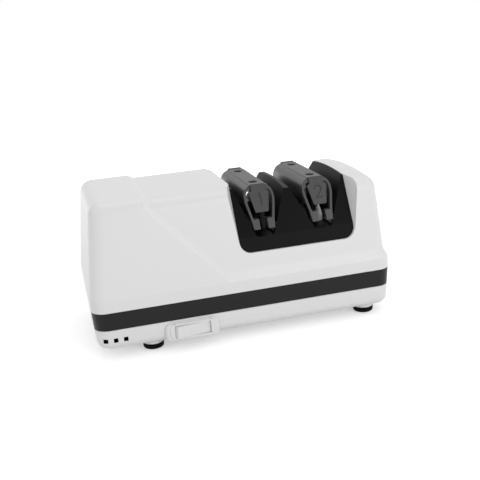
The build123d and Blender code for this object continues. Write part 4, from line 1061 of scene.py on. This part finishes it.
class SHARPENER_OT_grit(bpy.types.Operator):
    """Scatters abrasive grains over the working faces of the discs"""

    bl_idname = "sharpener.grit"
    bl_label = "Scatter abrasive grit"

    def execute(self, context):
        values = context.scene.sharpener_mechanism
        tree = grit_tree()
        grains = {"coarse grit": values.coarse_grain, "fine grit": values.fine_grain}
        for node, finish, slot, seed in GRIT_FACES:
            made = grow(node + "_grit", self.working_faces(node), tree, {
                "Density": values.grain_density, "Grain": grains[finish], "Seed": seed,
                "Material": material(finish)})
            piece(made, node, slot)
        return {"FINISHED"}

    def working_faces(self, node):
        """The leaning faces in the outer band of a disc, on the side that meets the blade."""
        low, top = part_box(node)
        height = (low.z + top.z) / 2
        inner = (top.z - low.z) / 2 - GRIT_BAND
        outward = 1 if node.endswith("right") else -1
        shape = merged_shape(node)
        others = []
        for face in shape.faces:
            spot = face.calc_center_median()
            away = math.hypot(spot.y, spot.z - height)
            lean = face.normal.x * outward
            if away < inner or lean < GRIT_LEAST_LEAN or lean > GRIT_MOST_LEAN:
                others.append(face)
        bmesh.ops.delete(shape, geom=others, context="FACES")
        return new_mesh(node + "_faces", shape)


class SHARPENER_OT_stage(bpy.types.Operator):
    """Pale floor, soft studio lights and the camera"""

    bl_idname = "sharpener.stage"
    bl_label = "Make stage"

    def execute(self, context):
        values = context.scene.sharpener_stage
        context.scene.view_settings.view_transform = "Standard"
        self.floor()
        self.world(context.scene)
        for name, power, place, width in LAMPS:
            self.lamp(name, getattr(values, power), place, width)
        self.camera(context.scene, values.lens)
        return {"FINISHED"}

    def floor(self):
        """A wide floor that glows for the camera and for gloss, and keeps the shadow."""
        reach = FLOOR_HALF
        mesh = bpy.data.meshes.new("floor")
        mesh.from_pydata(
            [(-reach, -reach, 0), (reach, -reach, 0), (reach, reach, 0), (-reach, reach, 0)], [],
            [(0, 1, 2, 3)])
        floor = add_object("floor", mesh)
        made = bpy.data.materials.new("floor")
        tree = cleared(made)
        path = add_node(tree, "ShaderNodeLightPath").outputs
        seen = calc(tree, "MAXIMUM", path["Is Camera Ray"], path["Is Glossy Ray"])
        lit = add_node(tree, "ShaderNodeBsdfDiffuse", {"Color": FLOOR_COLOUR})
        away = add_node(tree, "ShaderNodeVectorMath", {0: object_place(tree)}, operation="LENGTH")
        strength = rescale(tree, away.outputs["Value"], FLOOR_REACH, FLOOR_GLOW)
        glow = add_node(tree, "ShaderNodeEmission", {"Strength": calc(tree, "MULTIPLY", seen, strength)})
        both = add_node(tree, "ShaderNodeAddShader", {0: lit.outputs["BSDF"], 1: glow.outputs["Emission"]})
        add_node(tree, "ShaderNodeOutputMaterial", {"Surface": both.outputs["Shader"]})
        mesh.materials.append(made)

    def world(self, scene):
        """White behind the object, softer light on it, and a dark side for the gloss to mirror."""
        scene.world = bpy.data.worlds.new("studio")
        tree = cleared(scene.world)
        path = add_node(tree, "ShaderNodeLightPath").outputs
        way = add_node(tree, "ShaderNodeTexCoord").outputs["Generated"]
        toward = add_node(tree, "ShaderNodeVectorMath", {0: way, 1: DARK_SIDE}, operation="DOT_PRODUCT")
        mirrored = rescale(tree, toward.outputs["Value"], DARK_NEARNESS, DARK_LIGHT)
        lit = add_node(tree, "ShaderNodeMix", {
            "Factor": path["Is Glossy Ray"], "A": WORLD_LIGHT, "B": mirrored})
        strength = calc(tree, "MAXIMUM", lit.outputs["Result"], path["Is Camera Ray"])
        back = add_node(tree, "ShaderNodeBackground", {"Color": (1, 1, 1, 1), "Strength": strength})
        add_node(tree, "ShaderNodeOutputWorld", {"Surface": back.outputs["Background"]})

    def lamp(self, name, power, place, width):
        """A square soft box that looks at the middle of the object."""
        light = bpy.data.lights.new(name, "AREA")
        light.energy = power
        light.size = width
        made = add_object(name, light)
        made.location = place
        look = Vector(LAMP_AIM) - Vector(place)
        made.rotation_euler = look.to_track_quat("-Z", "Y").to_euler()

    def camera(self, scene, lens):
        """The camera stands in front, a little to the left and above, rolled a few degrees."""
        data = bpy.data.cameras.new("camera")
        data.lens = lens
        data.sensor_width = SENSOR_WIDTH
        made = add_object("camera", data)
        right = Vector(CAMERA_RIGHT).normalized()
        forward = Vector(CAMERA_FORWARD).normalized()
        up = right.cross(forward).normalized()
        right = forward.cross(up).normalized()
        columns = ((*right, 0), (*up, 0), (*-forward, 0), (*CAMERA_PLACE, 1))
        made.matrix_world = Matrix(columns).transposed()
        scene.camera = made


OPERATORS = (
    SHARPENER_OT_finishes, SHARPENER_OT_numerals, SHARPENER_OT_feet, SHARPENER_OT_screws,
    SHARPENER_OT_springs, SHARPENER_OT_winding, SHARPENER_OT_grit, SHARPENER_OT_stage)


class SHARPENER_PT_panel(bpy.types.Panel):
    """Lists the sharpener's operators and values"""

    bl_idname = "SHARPENER_PT_panel"
    bl_label = "Sharpener"
    bl_space_type = "VIEW_3D"
    bl_region_type = "UI"
    bl_category = "Sharpener"

    def draw(self, context):
        for operator in OPERATORS:
            self.layout.operator(operator.bl_idname)
        for name, group in VALUE_GROUPS.items():
            for key in group.__annotations__:
                self.layout.prop(getattr(context.scene, name), key)


def register():
    """Adds the values, the operators and the panel to Blender."""
    for group in VALUE_GROUPS.values():
        bpy.utils.register_class(group)
    for name, group in VALUE_GROUPS.items():
        setattr(bpy.types.Scene, name, PointerProperty(type=group))
    for operator in OPERATORS:
        bpy.utils.register_class(operator)
    bpy.utils.register_class(SHARPENER_PT_panel)


def unregister():
    """Takes away what register() adds."""
    bpy.utils.unregister_class(SHARPENER_PT_panel)
    for operator in reversed(OPERATORS):
        bpy.utils.unregister_class(operator)
    for name in VALUE_GROUPS:
        delattr(bpy.types.Scene, name)
    for group in VALUE_GROUPS.values():
        bpy.utils.unregister_class(group)


def main():
    """Builds everything in order."""
    register()
    for operator in OPERATORS:
        getattr(bpy.ops.sharpener, operator.bl_idname.split(".")[1])()


if __name__ == "__main__":
    main()
